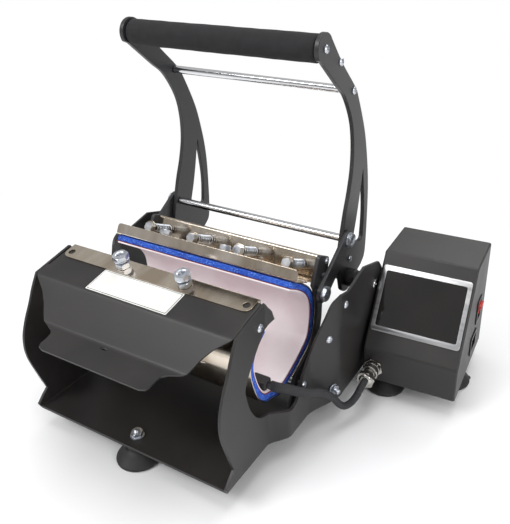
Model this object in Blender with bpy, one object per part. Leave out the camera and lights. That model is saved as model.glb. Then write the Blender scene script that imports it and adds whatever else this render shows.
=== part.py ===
import bpy
import bmesh
from math import atan2, cos, hypot, pi, radians, sin, sqrt
from mathutils import Matrix, Vector

# Tumbler heat press, shown open. Metres, +Z up, +X along the tumbler, the front towards -Y.
# The origin is on the table, under the middle of the front suction foot.
# Pieces are laid out as (y, z) from the front bottom edge of the base, and seat() puts them in place.

# Base
FOOT_HEIGHT = 0.025
FOOT_SETBACK = 0.018
BASE_DEPTH = 0.286
BASE_HEIGHT = 0.168
BASE_SHEET = 0.003
BASE_BEND = 0.004

# Widths, all from the handle's arms: the jaw fits between them, and the base steps out round them
ARM_HALF_WIDTH = 0.121
ARM_THICKNESS = 0.005
CLEARANCE = 0.0003
RUNNING_GAP = 0.0005
FRONT_ROOM = 0.004
WAIST_ROOM = 0.0185
TAIL_ROOM = 0.035
FRONT_HALF_WIDTH = ARM_HALF_WIDTH + FRONT_ROOM
WAIST_HALF_WIDTH = ARM_HALF_WIDTH + WAIST_ROOM
TAIL_HALF_WIDTH = ARM_HALF_WIDTH + TAIL_ROOM
JAW_HALF_WIDTH = ARM_HALF_WIDTH - ARM_THICKNESS - RUNNING_GAP
MAT_OVERHANG = 0.0005
SHEET_OVERHANG = 0.0015
BRACKET_OVERHANG = 0.004
MAT_HALF_LENGTH = JAW_HALF_WIDTH + MAT_OVERHANG
CRADLE_HALF_LENGTH = MAT_HALF_LENGTH + SHEET_OVERHANG
WRAP_HALF_LENGTH = MAT_HALF_LENGTH + SHEET_OVERHANG
BRACKET_HALF_LENGTH = MAT_HALF_LENGTH + BRACKET_OVERHANG

# Hood and stainless parts round the mat
HOOD_SHEET = 0.002
HOOD_FLANGE_DROP = 0.024
STAINLESS_SHEET = 0.0012

# Mat
MAT_DEPTH = 0.127
MAT_HEIGHT = 0.118
MAT_FRONT = 0.059
MAT_BOTTOM = 0.037
BLANKET_THICKNESS = 0.0062
LINER_THICKNESS = 0.0028

# Linkage pivots, as (y, z)
ARM_PIVOT = (0.262, 0.103)
ROD_PIVOT = (0.252, 0.157)
LINK_PIVOT = (0.191, 0.118)
JAW_PIVOT = (0.150, 0.022)
HANDLE_TRAVEL = radians(45)
JAW_TRAVEL = radians(26)

# Plates of the moving frame
ARM_RISE = 0.274
ARM_REACH = 0.066
LINK_THICKNESS = 0.0045
JAW_SIDE_THICKNESS = 0.0045
SHARP_ANGLE = radians(35)

# Rods
AXLE_RADIUS = 0.006
ROD_RADIUS = 0.0045
GRIP_RADIUS = 0.014
GRIP_CORE_RADIUS = 0.009
GRIP_CENTRE = (0.196, 0.377)
UPPER_ROD_CENTRE = (0.262, 0.325)

COLOURS = {
    "powder_coat": ((0.025, 0.025, 0.027, 1), 0.0, 0.55),
    "stainless": ((0.62, 0.57, 0.52, 1), 1.0, 0.22),
    "chrome": ((0.72, 0.70, 0.67, 1), 1.0, 0.12),
    "zinc": ((0.60, 0.62, 0.64, 1), 1.0, 0.32),
    "silicone": ((0.01, 0.07, 0.52, 1), 0.0, 0.75),
    "liner": ((0.76, 0.60, 0.56, 1), 0.0, 0.60),
    "foam": ((0.022, 0.022, 0.024, 1), 0.0, 0.92),
    "rubber": ((0.020, 0.020, 0.022, 1), 0.0, 0.60),
    "black_plastic": ((0.018, 0.018, 0.020, 1), 0.0, 0.45),
    "braid": ((0.025, 0.024, 0.024, 1), 0.0, 0.80),
    "glass": ((0.012, 0.012, 0.014, 1), 0.0, 0.08),
    "aluminium": ((0.66, 0.65, 0.64, 1), 1.0, 0.30),
    "red_plastic": ((0.62, 0.02, 0.015, 1), 0.0, 0.35),
    "circuit_board": ((0.02, 0.16, 0.06, 1), 0.0, 0.5),
}


def seat(y, z):
    return (y - FOOT_SETBACK, z + FOOT_HEIGHT)


def clear_scene():
    for old in list(bpy.data.objects):
        bpy.data.objects.remove(old, do_unlink=True)


def finish(name, finish_name):
    colour, metallic, roughness = COLOURS[finish_name]
    material = bpy.data.materials.new(name + "_" + finish_name)
    material.use_nodes = True
    shader = material.node_tree.nodes["Principled BSDF"]
    shader.inputs["Base Color"].default_value = colour
    shader.inputs["Metallic"].default_value = metallic
    shader.inputs["Roughness"].default_value = roughness
    return material


def add_object(name, bm, finish_name, carrier=None, smooth=True):
    """Makes an object of bm, whose points are in the world, with its origin on its carrier's axis."""
    mesh = bpy.data.meshes.new(name)
    origin = carrier.location if carrier else Vector((0, 0, 0))
    bmesh.ops.translate(bm, verts=bm.verts, vec=-origin)
    bm.to_mesh(mesh)
    bm.free()
    mesh.materials.append(finish(name, finish_name))
    if smooth:
        mesh.shade_smooth()
        mesh.set_sharp_from_angle(angle=SHARP_ANGLE)
    thing = bpy.data.objects.new(name, mesh)
    bpy.context.collection.objects.link(thing)
    if carrier:
        thing.parent = carrier
    return thing


def add_axis(name, y, z, x=0):
    axis = bpy.data.objects.new(name, None)
    axis.location = (x, y, z)
    axis.empty_display_size = AXLE_RADIUS
    bpy.context.collection.objects.link(axis)
    return axis


def solidify(thing, thickness):
    wall = thing.modifiers.new("wall", "SOLIDIFY")
    wall.thickness = thickness
    wall.offset = -1
    wall.use_even_offset = True
    return thing


def cut(thing, cutter):
    cutter.hide_render = True
    cutter.display_type = "WIRE"
    hole = thing.modifiers.new("cut_" + cutter.name, "BOOLEAN")
    hole.operation = "DIFFERENCE"
    hole.object = cutter
    return thing


def fuse(thing, other):
    other.hide_render = True
    other.display_type = "WIRE"
    union = thing.modifiers.new("fuse_" + other.name, "BOOLEAN")
    union.operation = "UNION"
    union.object = other
    return thing


# Curves and outlines in the (y, z) plane

def scaled(shares, depth, height, start=(0, 0)):
    return [(start[0] + a * depth, start[1] + b * height) for a, b in shares]


def through(points, steps=3):
    """A smooth curve through the points, with some steps between each pair."""
    ends = [points[0]] + list(points) + [points[-1]]
    curve = []
    for before, here, there, after in zip(ends, ends[1:], ends[2:], ends[3:]):
        for step in range(steps):
            t = step / steps
            curve.append(tuple(
                ((2 * b) + (c - a) * t + (2 * a - 5 * b + 4 * c - d) * t * t
                 + (3 * b - a - 3 * c + d) * t * t * t) / 2
                for a, b, c, d in zip(before, here, there, after)))
    curve.append(tuple(points[-1]))
    return curve


def arc(centre, radius, start, end, steps=8):
    return [(centre[0] + radius * cos(start + (end - start) * i / steps),
             centre[1] + radius * sin(start + (end - start) * i / steps)) for i in range(steps + 1)]


def circle(centre, radius, sides=20):
    return arc(centre, radius, 0, 2 * pi, sides)[:-1]


def offset_path(points, distance):
    """The path moved sideways, to the right of its own direction."""
    moved = []
    for i, point in enumerate(points):
        before = points[max(i - 1, 0)]
        after = points[min(i + 1, len(points) - 1)]
        dy, dz = after[0] - before[0], after[1] - before[1]
        length = hypot(dy, dz)
        moved.append((point[0] + distance * dz / length, point[1] - distance * dy / length))
    return moved


def turn(point, angle, pivot):
    """The point turned about the pivot, from +y towards +z."""
    dy, dz = point[0] - pivot[0], point[1] - pivot[1]
    return (pivot[0] + dy * cos(angle) - dz * sin(angle), pivot[1] + dy * sin(angle) + dz * cos(angle))


def opened(points):
    """Points of the closed jaw, turned back to where they are when it is open."""
    return [turn(point, -JAW_TRAVEL, JAW_PIVOT) for point in points]


def capsule(start, end, radius, steps=8):
    """The outline of a bar with round ends."""
    along = atan2(end[1] - start[1], end[0] - start[0])
    return (arc(end, radius, along - pi / 2, along + pi / 2, steps)
            + arc(start, radius, along + pi / 2, along + 3 * pi / 2, steps))


# Ways of making a solid

def plate_mesh(loops, x_low, x_high):
    """A flat plate across x, with its outer outline first and its holes after it."""
    bm = bmesh.new()
    for loop in loops:
        points = [bm.verts.new((x_low, *seat(y, z))) for y, z in loop]
        for here, there in zip(points, points[1:] + points[:1]):
            bm.edges.new((here, there))
    bmesh.ops.triangle_fill(bm, use_beauty=True, use_dissolve=False, edges=bm.edges[:])
    grown = bmesh.ops.extrude_face_region(bm, geom=bm.faces[:] + bm.edges[:] + bm.verts[:])
    moved = [item for item in grown["geom"] if isinstance(item, bmesh.types.BMVert)]
    bmesh.ops.translate(bm, verts=moved, vec=(x_high - x_low, 0, 0))
    bmesh.ops.recalc_face_normals(bm, faces=bm.faces)
    return bm


def plate(name, loops, x_low, x_high, finish_name, carrier=None):
    return add_object(name, plate_mesh(loops, x_low, x_high), finish_name, carrier, smooth=False)


def folded_sheet(name, rows, thickness, finish_name, carrier=None):
    """A sheet whose rows (y, z, half width) run so that its outer face is on the right of the path."""
    bm = bmesh.new()
    edge = []
    for y, z, half in rows:
        edge.append((bm.verts.new((-half, *seat(y, z))), bm.verts.new((half, *seat(y, z)))))
    for here, there in zip(edge, edge[1:]):
        bm.faces.new((here[0], there[0], there[1], here[1]))
    return solidify(add_object(name, bm, finish_name, carrier), thickness)


def turned_mesh(profile, place, axis, sides=20):
    """Turns (along, radius) or (along, flat, "hex") stations about an axis that starts at place."""
    bm = bmesh.new()
    rings = []
    for station in profile:
        along, radius = station[0], station[1]
        ring = []
        for i in range(sides):
            angle = 2 * pi * i / sides
            reach = radius
            if len(station) > 2:
                reach = radius / cos((angle % (pi / 3)) - pi / 6)
            ring.append(bm.verts.new((reach * cos(angle), reach * sin(angle), along)))
        rings.append(ring)
    for low, high in zip(rings, rings[1:]):
        for i in range(sides):
            j = (i + 1) % sides
            bm.faces.new((low[i], low[j], high[j], high[i]))
    bm.faces.new(list(reversed(rings[0])))
    bm.faces.new(rings[-1])
    quarter = Vector((0, 0, 1)).rotation_difference(Vector(axis).normalized())
    bmesh.ops.transform(bm, verts=bm.verts, matrix=Matrix.Translation(place) @ quarter.to_matrix().to_4x4())
    bmesh.ops.recalc_face_normals(bm, faces=bm.faces)
    return bm


def turned(name, profile, place, axis, finish_name, carrier=None, sides=20):
    return add_object(name, turned_mesh(profile, place, axis, sides), finish_name, carrier)


def turned_ring(name, profile, place, axis, finish_name, carrier=None, sides=24):
    """Turns a closed (along, radius) outline, which leaves a bore."""
    bm = bmesh.new()
    rings = []
    for along, radius in profile:
        rings.append([bm.verts.new((radius * cos(2 * pi * i / sides), radius * sin(2 * pi * i / sides), along))
                      for i in range(sides)])
    for low, high in zip(rings, rings[1:] + rings[:1]):
        for i in range(sides):
            j = (i + 1) % sides
            bm.faces.new((low[i], low[j], high[j], high[i]))
    quarter = Vector((0, 0, 1)).rotation_difference(Vector(axis).normalized())
    bmesh.ops.transform(bm, verts=bm.verts, matrix=Matrix.Translation(place) @ quarter.to_matrix().to_4x4())
    bmesh.ops.recalc_face_normals(bm, faces=bm.faces)
    return add_object(name, bm, finish_name, carrier)


def block_mesh(low, high):
    bm = bmesh.new()
    bmesh.ops.create_cube(bm, size=1)
    middle = [(a + b) / 2 for a, b in zip(low, high)]
    span = [b - a for a, b in zip(low, high)]
    bmesh.ops.scale(bm, verts=bm.verts, vec=span)
    bmesh.ops.translate(bm, verts=bm.verts, vec=middle)
    return bm


def rod_profile(length, radius, chamfer):
    return [(0, radius - chamfer), (chamfer, radius), (length - chamfer, radius), (length, radius - chamfer)]


ROD_CHAMFER = 0.0006


def cross_rod(name, radius, half_length, centre, finish_name, carrier=None, sides=20):
    profile = rod_profile(2 * half_length, radius, ROD_CHAMFER)
    return turned(name, profile, (-half_length, *seat(*centre)), (1, 0, 0), finish_name, carrier, sides)


# Base frame: one bent sheet with a floor, two sides and their wings

SIDE_FRONT_SHARES = [(0.007, 0.0), (-0.003, 0.042), (0.024, 0.089), (0.045, 0.119)]
SIDE_BOW_SHARES = [(0.045, 0.119), (0.017, 0.262), (-0.010, 0.423), (-0.010, 0.548), (0.010, 0.655),
                   (0.042, 0.762), (0.066, 0.851), (0.094, 0.935)]
SIDE_TAB_SHARES = [(0.255, 1.0), (0.294, 0.929), (0.301, 0.869), (0.252, 0.839)]
SIDE_MOUTH_SHARES = [(0.213, 0.780), (0.168, 0.690), (0.129, 0.583), (0.133, 0.500), (0.154, 0.393),
                     (0.192, 0.298), (0.231, 0.256), (0.273, 0.232), (0.322, 0.214), (0.350, 0.212),
                     (0.378, 0.236), (0.409, 0.340), (0.455, 0.440), (0.493, 0.554), (0.531, 0.667),
                     (0.562, 0.762), (0.605, 0.795)]
SIDE_REAR_SHARES = [(0.661, 0.774), (0.804, 0.833), (0.951, 0.760), (0.986, 0.690), (1.0, 0.583), (1.0, 0.0)]
JOGGLE_SHARES = [0.252, 0.329, 0.455, 0.612]
EAR_THICKNESS = 0.003
EAR_RADIUS = 0.010
EAR_FOOT = 0.020


def half_width_at(y):
    """Half the width over the side sheets, which step outwards twice towards the back."""
    steps = [share * BASE_DEPTH for share in JOGGLE_SHARES]
    widths = [FRONT_HALF_WIDTH, WAIST_HALF_WIDTH, WAIST_HALF_WIDTH, TAIL_HALF_WIDTH]
    if y <= steps[0]:
        return widths[0]
    for low, high, narrow, wide in zip(steps, steps[1:], widths, widths[1:]):
        if y <= high:
            return narrow + (wide - narrow) * (y - low) / (high - low)
    return widths[-1]


def side_outline():
    front = scaled(SIDE_FRONT_SHARES, BASE_DEPTH, BASE_HEIGHT)
    bow = through(scaled(SIDE_BOW_SHARES, BASE_DEPTH, BASE_HEIGHT), 2)
    tab = scaled(SIDE_TAB_SHARES, BASE_DEPTH, BASE_HEIGHT)
    mouth = through(scaled(SIDE_MOUTH_SHARES, BASE_DEPTH, BASE_HEIGHT), 2)
    rear = scaled(SIDE_REAR_SHARES, BASE_DEPTH, BASE_HEIGHT)
    return front[:-1] + bow + tab + mouth + rear


def side_faces(bm, sign):
    """One side sheet as a flat face, cut where it steps, then pushed out to its width."""
    outline = side_outline()
    if sign > 0:
        outline = list(reversed(outline))
    face = bm.faces.new([bm.verts.new((0, y, z)) for y, z in outline])
    geom = [face] + list(face.edges) + list(face.verts)
    for share in JOGGLE_SHARES:
        result = bmesh.ops.bisect_plane(bm, geom=geom, plane_co=(0, share * BASE_DEPTH, 0), plane_no=(0, 1, 0))
        geom = result["geom"]
    result = bmesh.ops.bisect_plane(bm, geom=geom, plane_co=(0, 0, 2 * BASE_BEND), plane_no=(0, 0, 1))
    geom = result["geom"]
    points = [item for item in geom if isinstance(item, bmesh.types.BMVert)]
    for point in points:
        point.co.x = sign * half_width_at(point.co.y)
    return sorted([point for point in points if point.co.z < BASE_BEND], key=lambda point: point.co.y)


CUTTER_OVERRUN = 0.019
JAW_AXLE_RADIUS = 0.004


def build_base():
    bm = bmesh.new()
    right = side_faces(bm, 1)
    left = side_faces(bm, -1)
    folds = []
    for a, b, c, d in zip(left, left[1:], right[1:], right):
        floor = bm.faces.new((a, b, c, d))
        folds += [edge for edge in floor.edges if len(edge.link_faces) == 2 and abs(edge.verts[0].co.x) > 0
                  and edge.verts[0].co.x * edge.verts[1].co.x > 0]
    bmesh.ops.bevel(bm, geom=list(set(folds)), offset=BASE_BEND, segments=3, affect="EDGES", profile=0.5)
    bmesh.ops.translate(bm, verts=bm.verts, vec=(0, *seat(0, 0)))
    base = solidify(add_object("base_frame", bm, "powder_coat", smooth=False), BASE_SHEET)
    ear_low = JAW_HALF_WIDTH + RUNNING_GAP
    for side, sign in (("left", -1), ("right", 1)):
        outline = (arc(JAW_PIVOT, EAR_RADIUS, 0, pi)
                   + [(JAW_PIVOT[0] - EAR_FOOT, BASE_SHEET / 2), (JAW_PIVOT[0] + EAR_FOOT, BASE_SHEET / 2)])
        low, high = sorted((sign * ear_low, sign * (ear_low + EAR_THICKNESS)))
        ear = plate("hinge_ear_" + side, [outline], low, high, "powder_coat")
        fuse(base, ear)
    holes = [("jaw_axle_hole", JAW_AXLE_RADIUS, JAW_PIVOT), ("main_axle_hole", AXLE_RADIUS, ARM_PIVOT)]
    for name, radius, centre in holes:
        reach = TAIL_HALF_WIDTH + CUTTER_OVERRUN
        cutter = cross_rod(name, radius + CLEARANCE, reach, centre, "zinc", sides=24)
        cut(base, cutter)
    return base


# Hood

HOOD_REAR = (0.073, 0.1675)
HOOD_TOP_BEND = (0.026, 0.157)
HOOD_LOW_BEND = (-0.001, 0.124)
HOOD_LIP_END = (-0.030, 0.119)
HOOD_PANEL_SHARES = [(0.0, 1.0), (0.10, 0.965), (0.22, 0.915), (0.36, 0.862), (0.60, 0.800), (0.85, 0.755)]
HOOD_LIP_SHARES = [(0.0, 0.723), (0.08, 0.660), (0.18, 0.600), (0.32, 0.562), (0.50, 0.553), (0.80, 0.550),
                   (0.93, 0.535), (1.0, 0.490)]
HOOD_FLANGE_FRONT_SHARE = 0.35


def blend_points(start, end, share):
    return tuple(a + (b - a) * share for a, b in zip(start, end))


CUTTER_DEPTH = 0.008
LIMIT_SHANK = 0.0035


def build_hood():
    half = FRONT_HALF_WIDTH - BASE_SHEET - CLEARANCE
    rows = [(*HOOD_REAR, half), (*blend_points(HOOD_TOP_BEND, HOOD_REAR, HOOD_FLANGE_FRONT_SHARE), half)]
    rows += [(*blend_points(HOOD_TOP_BEND, HOOD_LOW_BEND, along), half * wide)
             for along, wide in HOOD_PANEL_SHARES]
    rows += [(*blend_points(HOOD_LOW_BEND, HOOD_LIP_END, along), half * wide)
             for along, wide in HOOD_LIP_SHARES]
    bm = bmesh.new()
    edge = []
    for y, z, wide in rows:
        edge.append((bm.verts.new((-wide, *seat(y, z))), bm.verts.new((wide, *seat(y, z)))))
    for here, there in zip(edge, edge[1:]):
        bm.faces.new((there[0], there[1], here[1], here[0]))
    for side in (0, 1):
        rear, front = edge[0][side], edge[1][side]
        low_rear = bm.verts.new(rear.co - Vector((0, 0, HOOD_FLANGE_DROP)))
        low_front = bm.verts.new(front.co - Vector((0, 0, HOOD_FLANGE_DROP)))
        corners = [low_front, low_rear, rear, front]
        bm.faces.new(corners if side else list(reversed(corners)))
    hood = solidify(add_object("front_hood", bm, "powder_coat", smooth=False), HOOD_SHEET)
    for side, sign in (("left", -1), ("right", 1)):
        place = limit_bolt_place(sign)
        hole = turned("hood_hole_" + side, [(-CUTTER_DEPTH, LIMIT_SHANK + CLEARANCE),
                                             (CUTTER_DEPTH, LIMIT_SHANK + CLEARANCE)],
                      place, hood_normal(), "zinc")
        cut(hood, hole)
    return hood


# Mat, in two layers

MAT_SHARES = [(0.190, 0.806), (0.071, 0.712), (0.0, 0.585), (0.0, 0.441), (0.071, 0.229), (0.165, 0.102),
              (0.283, 0.051), (0.440, 0.0), (0.606, 0.040), (0.803, 0.136), (0.937, 0.237), (0.990, 0.398),
              (1.0, 0.542), (0.976, 0.669), (0.906, 0.788), (0.795, 0.890), (0.709, 0.949), (0.622, 1.0)]
MAT_STEPS = 3
FIXED_MAT_END = 7
MOVING_MAT_START = 8


def mat_path():
    return through(scaled(MAT_SHARES, MAT_DEPTH, MAT_HEIGHT, (MAT_FRONT, MAT_BOTTOM)), MAT_STEPS)


def build_mat():
    outer = mat_path()
    blanket = [(y, z, MAT_HALF_LENGTH) for y, z in outer]
    folded_sheet("silicone_blanket", blanket, BLANKET_THICKNESS, "silicone")
    inner = offset_path(outer, -(BLANKET_THICKNESS + CLEARANCE))
    lining = [(y, z, MAT_HALF_LENGTH - LINER_THICKNESS / 2) for y, z in inner]
    folded_sheet("heating_liner", lining, LINER_THICKNESS, "liner")


# Stainless cradle with its strip on the hood

STRIP_FRONT_SHARE = 0.66
STRIP_MIDDLE_SHARE = 0.5
CRADLE_FOLD_Y = 0.0762
NECK_RISE = 0.003


def hood_slope():
    dy, dz = HOOD_REAR[0] - HOOD_TOP_BEND[0], HOOD_REAR[1] - HOOD_TOP_BEND[1]
    length = hypot(dy, dz)
    return dy / length, dz / length


def hood_normal():
    along_y, along_z = hood_slope()
    return (0, -along_z, along_y)


STRIP_HOLE_INSET = 0.007
STRIP_HOLE_RADIUS = 0.0037


def build_cradle():
    _, normal_y, normal_z = hood_normal()
    top = [(y + CLEARANCE * normal_y, z + CLEARANCE * normal_z)
           for y, z in (blend_points(HOOD_TOP_BEND, HOOD_REAR, STRIP_FRONT_SHARE), HOOD_REAR)]
    along_y, along_z = hood_slope()
    corner = (CRADLE_FOLD_Y, top[1][1] + (CRADLE_FOLD_Y - top[1][0]) * along_z / along_y)
    outside = offset_path(mat_path(), CLEARANCE + STAINLESS_SHEET)
    hugging = [point for point in outside[:FIXED_MAT_END * MAT_STEPS + 1]
               if point[0] < CRADLE_FOLD_Y - NECK_RISE or point[1] < MAT_BOTTOM + MAT_HEIGHT / 2]
    neck = (CRADLE_FOLD_Y, hugging[0][1] + 2 * NECK_RISE)
    path = [top[0], corner, neck] + hugging
    rows = [(y, z, CRADLE_HALF_LENGTH) for y, z in path]
    bm = bmesh.new()
    edge = []
    for y, z, half in rows:
        edge.append((bm.verts.new((-half, *seat(y, z))), bm.verts.new((half, *seat(y, z)))))
    for here, there in zip(edge, edge[1:]):
        bm.faces.new((here[0], there[0], there[1], here[1]))
    cradle = solidify(add_object("front_cradle", bm, "stainless", smooth=False), STAINLESS_SHEET)
    strip_y, strip_z = blend_points(top[0], top[1], STRIP_MIDDLE_SHARE)
    for side, sign in (("left", -1), ("right", 1)):
        bolt_radius = LIMIT_SHANK + CLEARANCE
        bore = [(-CUTTER_DEPTH, bolt_radius), (CUTTER_DEPTH, bolt_radius)]
        cut(cradle, turned("strip_bolt_hole_" + side, bore, limit_bolt_place(sign), hood_normal(), "zinc"))
        end_place = (sign * (CRADLE_HALF_LENGTH - STRIP_HOLE_INSET), *seat(strip_y, strip_z))
        cut(cradle, turned("strip_end_hole_" + side, [(-CUTTER_DEPTH, STRIP_HOLE_RADIUS),
                                                       (CUTTER_DEPTH, STRIP_HOLE_RADIUS)],
                           end_place, hood_normal(), "zinc"))
    return cradle


# Limit bolts on the strip

LIMIT_HALF_SPACING = 0.039
LIMIT_NUT_FLAT = 0.0065
LIMIT_NUT_HEIGHT = 0.006
LIMIT_HEAD_FLAT = 0.0072
LIMIT_HEAD_HEIGHT = 0.0055
LIMIT_RISE = 0.012
LIMIT_DROP = 0.008
LIMIT_PLACE_SHARE = 0.86
HEAD_TOP_SHARE = 0.6


def limit_bolt_place(sign):
    y, z = blend_points(HOOD_TOP_BEND, HOOD_REAR, LIMIT_PLACE_SHARE)
    return (sign * LIMIT_HALF_SPACING, *seat(y, z))


def build_limit_bolts():
    for side, sign in (("left", -1), ("right", 1)):
        place = limit_bolt_place(sign)
        nut_low = STAINLESS_SHEET + 2 * CLEARANCE
        nut = [(nut_low, LIMIT_SHANK + CLEARANCE), (nut_low, LIMIT_NUT_FLAT, "hex"),
               (nut_low + LIMIT_NUT_HEIGHT, LIMIT_NUT_FLAT, "hex")]
        head_low = nut_low + LIMIT_RISE
        bolt = [(-LIMIT_DROP, LIMIT_SHANK), (head_low, LIMIT_SHANK), (head_low, LIMIT_HEAD_FLAT, "hex"),
                (head_low + LIMIT_HEAD_HEIGHT, LIMIT_HEAD_FLAT, "hex"),
                (head_low + LIMIT_HEAD_HEIGHT, LIMIT_HEAD_FLAT * HEAD_TOP_SHARE)]
        turned("limit_bolt_" + side, bolt, place, hood_normal(), "zinc", sides=24)
        hex_ring("limit_nut_" + side, nut_low, LIMIT_NUT_HEIGHT, LIMIT_NUT_FLAT, LIMIT_SHANK + CLEARANCE,
                 place, hood_normal(), "zinc")


def hex_ring(name, low, height, flat, bore, place, axis, finish_name, sides=24):
    """A hexagon nut with its bore."""
    bm = bmesh.new()
    stations = [(low, bore, False), (low, flat, True), (low + height, flat, True), (low + height, bore, False)]
    rings = []
    for along, radius, six in stations:
        ring = []
        for i in range(sides):
            angle = 2 * pi * i / sides
            reach = radius / cos((angle % (pi / 3)) - pi / 6) if six else radius
            ring.append(bm.verts.new((reach * cos(angle), reach * sin(angle), along)))
        rings.append(ring)
    for lower, upper in zip(rings, rings[1:] + rings[:1]):
        for i in range(sides):
            j = (i + 1) % sides
            bm.faces.new((lower[i], lower[j], upper[j], upper[i]))
    quarter = Vector((0, 0, 1)).rotation_difference(Vector(axis).normalized())
    bmesh.ops.transform(bm, verts=bm.verts, matrix=Matrix.Translation(place) @ quarter.to_matrix().to_4x4())
    bmesh.ops.recalc_face_normals(bm, faces=bm.faces)
    return add_object(name, bm, finish_name)


# Axles

AXLE_END = 0.0015
SPACER_RADIUS = 0.011


def build_axles(press):
    half = TAIL_HALF_WIDTH + AXLE_END
    cross_rod("main_axle", AXLE_RADIUS, half, ARM_PIVOT, "chrome")
    ear_outer = JAW_HALF_WIDTH + RUNNING_GAP + EAR_THICKNESS
    cross_rod("jaw_axle", JAW_AXLE_RADIUS, ear_outer + AXLE_END / 2, JAW_PIVOT, "zinc", press, sides=16)
    for side, sign in (("left", -1), ("right", 1)):
        low = ARM_HALF_WIDTH + CLEARANCE
        high = TAIL_HALF_WIDTH - BASE_SHEET - CLEARANCE
        bore = AXLE_RADIUS + CLEARANCE
        profile = [(0, bore), (0, SPACER_RADIUS), (high - low, SPACER_RADIUS), (high - low, bore)]
        place = (low, *seat(*ARM_PIVOT)) if sign > 0 else (-high, *seat(*ARM_PIVOT))
        turned_ring("axle_spacer_" + side, profile, place, (1, 0, 0), "black_plastic", sides=20)


# Suction feet

FOOT_RADIUS = 0.024
FOOT_NECK_RADIUS = 0.011
FOOT_PROFILE_SHARES = [(0.0, 0.95), (0.10, 1.0), (0.17, 1.0), (0.30, 0.80), (0.52, 0.60), (0.60, 0.46)]
REAR_FOOT_INSET = 0.051
REAR_FOOT_Y = 0.250


def foot(name, x, y):
    top = FOOT_HEIGHT - CLEARANCE
    profile = [(up * top, wide * FOOT_RADIUS) for up, wide in FOOT_PROFILE_SHARES]
    profile += [(top, FOOT_NECK_RADIUS)]
    return turned(name, profile, (x, y, 0), (0, 0, 1), "rubber", sides=28)


def build_feet():
    foot("front_suction_foot", 0, 0)
    rear = seat(REAR_FOOT_Y, 0)[0]
    spacing = TAIL_HALF_WIDTH - REAR_FOOT_INSET
    foot("rear_suction_foot_left", -spacing, rear)
    foot("rear_suction_foot_right", spacing, rear)


# Handle

ARM_REAR_SHARES = [(0.273, -0.047), (0.424, -0.018), (0.621, 0.004), (0.758, 0.055), (0.788, 0.245),
                   (0.758, 0.387), (0.652, 0.518), (0.500, 0.635), (0.197, 0.781), (0.045, 0.828),
                   (-0.424, 0.931), (-0.800, 1.030)]
ARM_FRONT_SHARES = [(-1.160, 0.970), (-0.591, 0.858), (-0.288, 0.799), (-0.015, 0.697), (0.091, 0.599),
                    (0.091, 0.493), (0.0, 0.398), (-0.136, 0.310), (-0.242, 0.226), (-0.348, 0.128),
                    (-0.333, 0.055)]
ARM_SLIT_SHARES = [(0.515, 0.456), (0.409, 0.339), (0.303, 0.245), (0.197, 0.164), (0.258, 0.139),
                   (0.545, 0.124), (0.606, 0.164), (0.621, 0.281)]
ARM_HUB_RADIUS = 0.018
HUB_START = radians(-55)
HUB_END = radians(-150)
TIP_END = radians(215)


def arm_outline():
    rear = through(scaled(ARM_REAR_SHARES, ARM_REACH, ARM_RISE, ARM_PIVOT), 2)
    tip = arc(GRIP_CENTRE, hypot(rear[-1][0] - GRIP_CENTRE[0], rear[-1][1] - GRIP_CENTRE[1]),
              atan2(rear[-1][1] - GRIP_CENTRE[1], rear[-1][0] - GRIP_CENTRE[0]), TIP_END, 8)
    front = through(scaled(ARM_FRONT_SHARES, ARM_REACH, ARM_RISE, ARM_PIVOT), 2)
    hub = arc(ARM_PIVOT, ARM_HUB_RADIUS, HUB_END, HUB_START, 8)
    return rear + tip[1:] + front[1:] + hub


GRIP_ROUND = 0.0015
GRIP_END_GAP = 0.0015
ROD_SCREW_RADIUS = 0.003


def build_handle(handle):
    outline = arm_outline()
    slit = scaled(ARM_SLIT_SHARES, ARM_REACH, ARM_RISE, ARM_PIVOT)
    holes = [slit, circle(ARM_PIVOT, AXLE_RADIUS + RUNNING_GAP),
             circle(ROD_PIVOT, ROD_SCREW_RADIUS + CLEARANCE)]
    for side, sign in (("left", -1), ("right", 1)):
        low, high = sorted((sign * (ARM_HALF_WIDTH - ARM_THICKNESS), sign * ARM_HALF_WIDTH))
        plate("arm_" + side, [outline] + holes, low, high, "powder_coat", handle)
    inside = ARM_HALF_WIDTH - ARM_THICKNESS - CLEARANCE
    cross_rod("grip_core", GRIP_CORE_RADIUS, inside, GRIP_CENTRE, "chrome", handle)
    bore = GRIP_CORE_RADIUS + CLEARANCE
    half = ARM_HALF_WIDTH - ARM_THICKNESS - GRIP_END_GAP
    foam = [(GRIP_ROUND, bore), (0, bore + GRIP_ROUND),
            (0, GRIP_RADIUS - GRIP_ROUND), (GRIP_ROUND, GRIP_RADIUS),
            (2 * half - GRIP_ROUND, GRIP_RADIUS), (2 * half, GRIP_RADIUS - GRIP_ROUND),
            (2 * half, bore + GRIP_ROUND), (2 * half - GRIP_ROUND, bore)]
    turned_ring("foam_grip", foam, (-half, *seat(*GRIP_CENTRE)), (1, 0, 0), "foam", handle, sides=28)
    cross_rod("upper_rod", ROD_RADIUS, inside, UPPER_ROD_CENTRE, "chrome", handle)
    cross_rod("lower_rod", ROD_RADIUS, inside, ROD_PIVOT, "chrome", handle)


# Links from the handle to the jaw

LINK_RADIUS = 0.011
LINK_END_GAP = 0.0005
HEAD_RADIUS = 0.0075
HEAD_HEIGHT = 0.0045
PIN_RADIUS = 0.004


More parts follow.
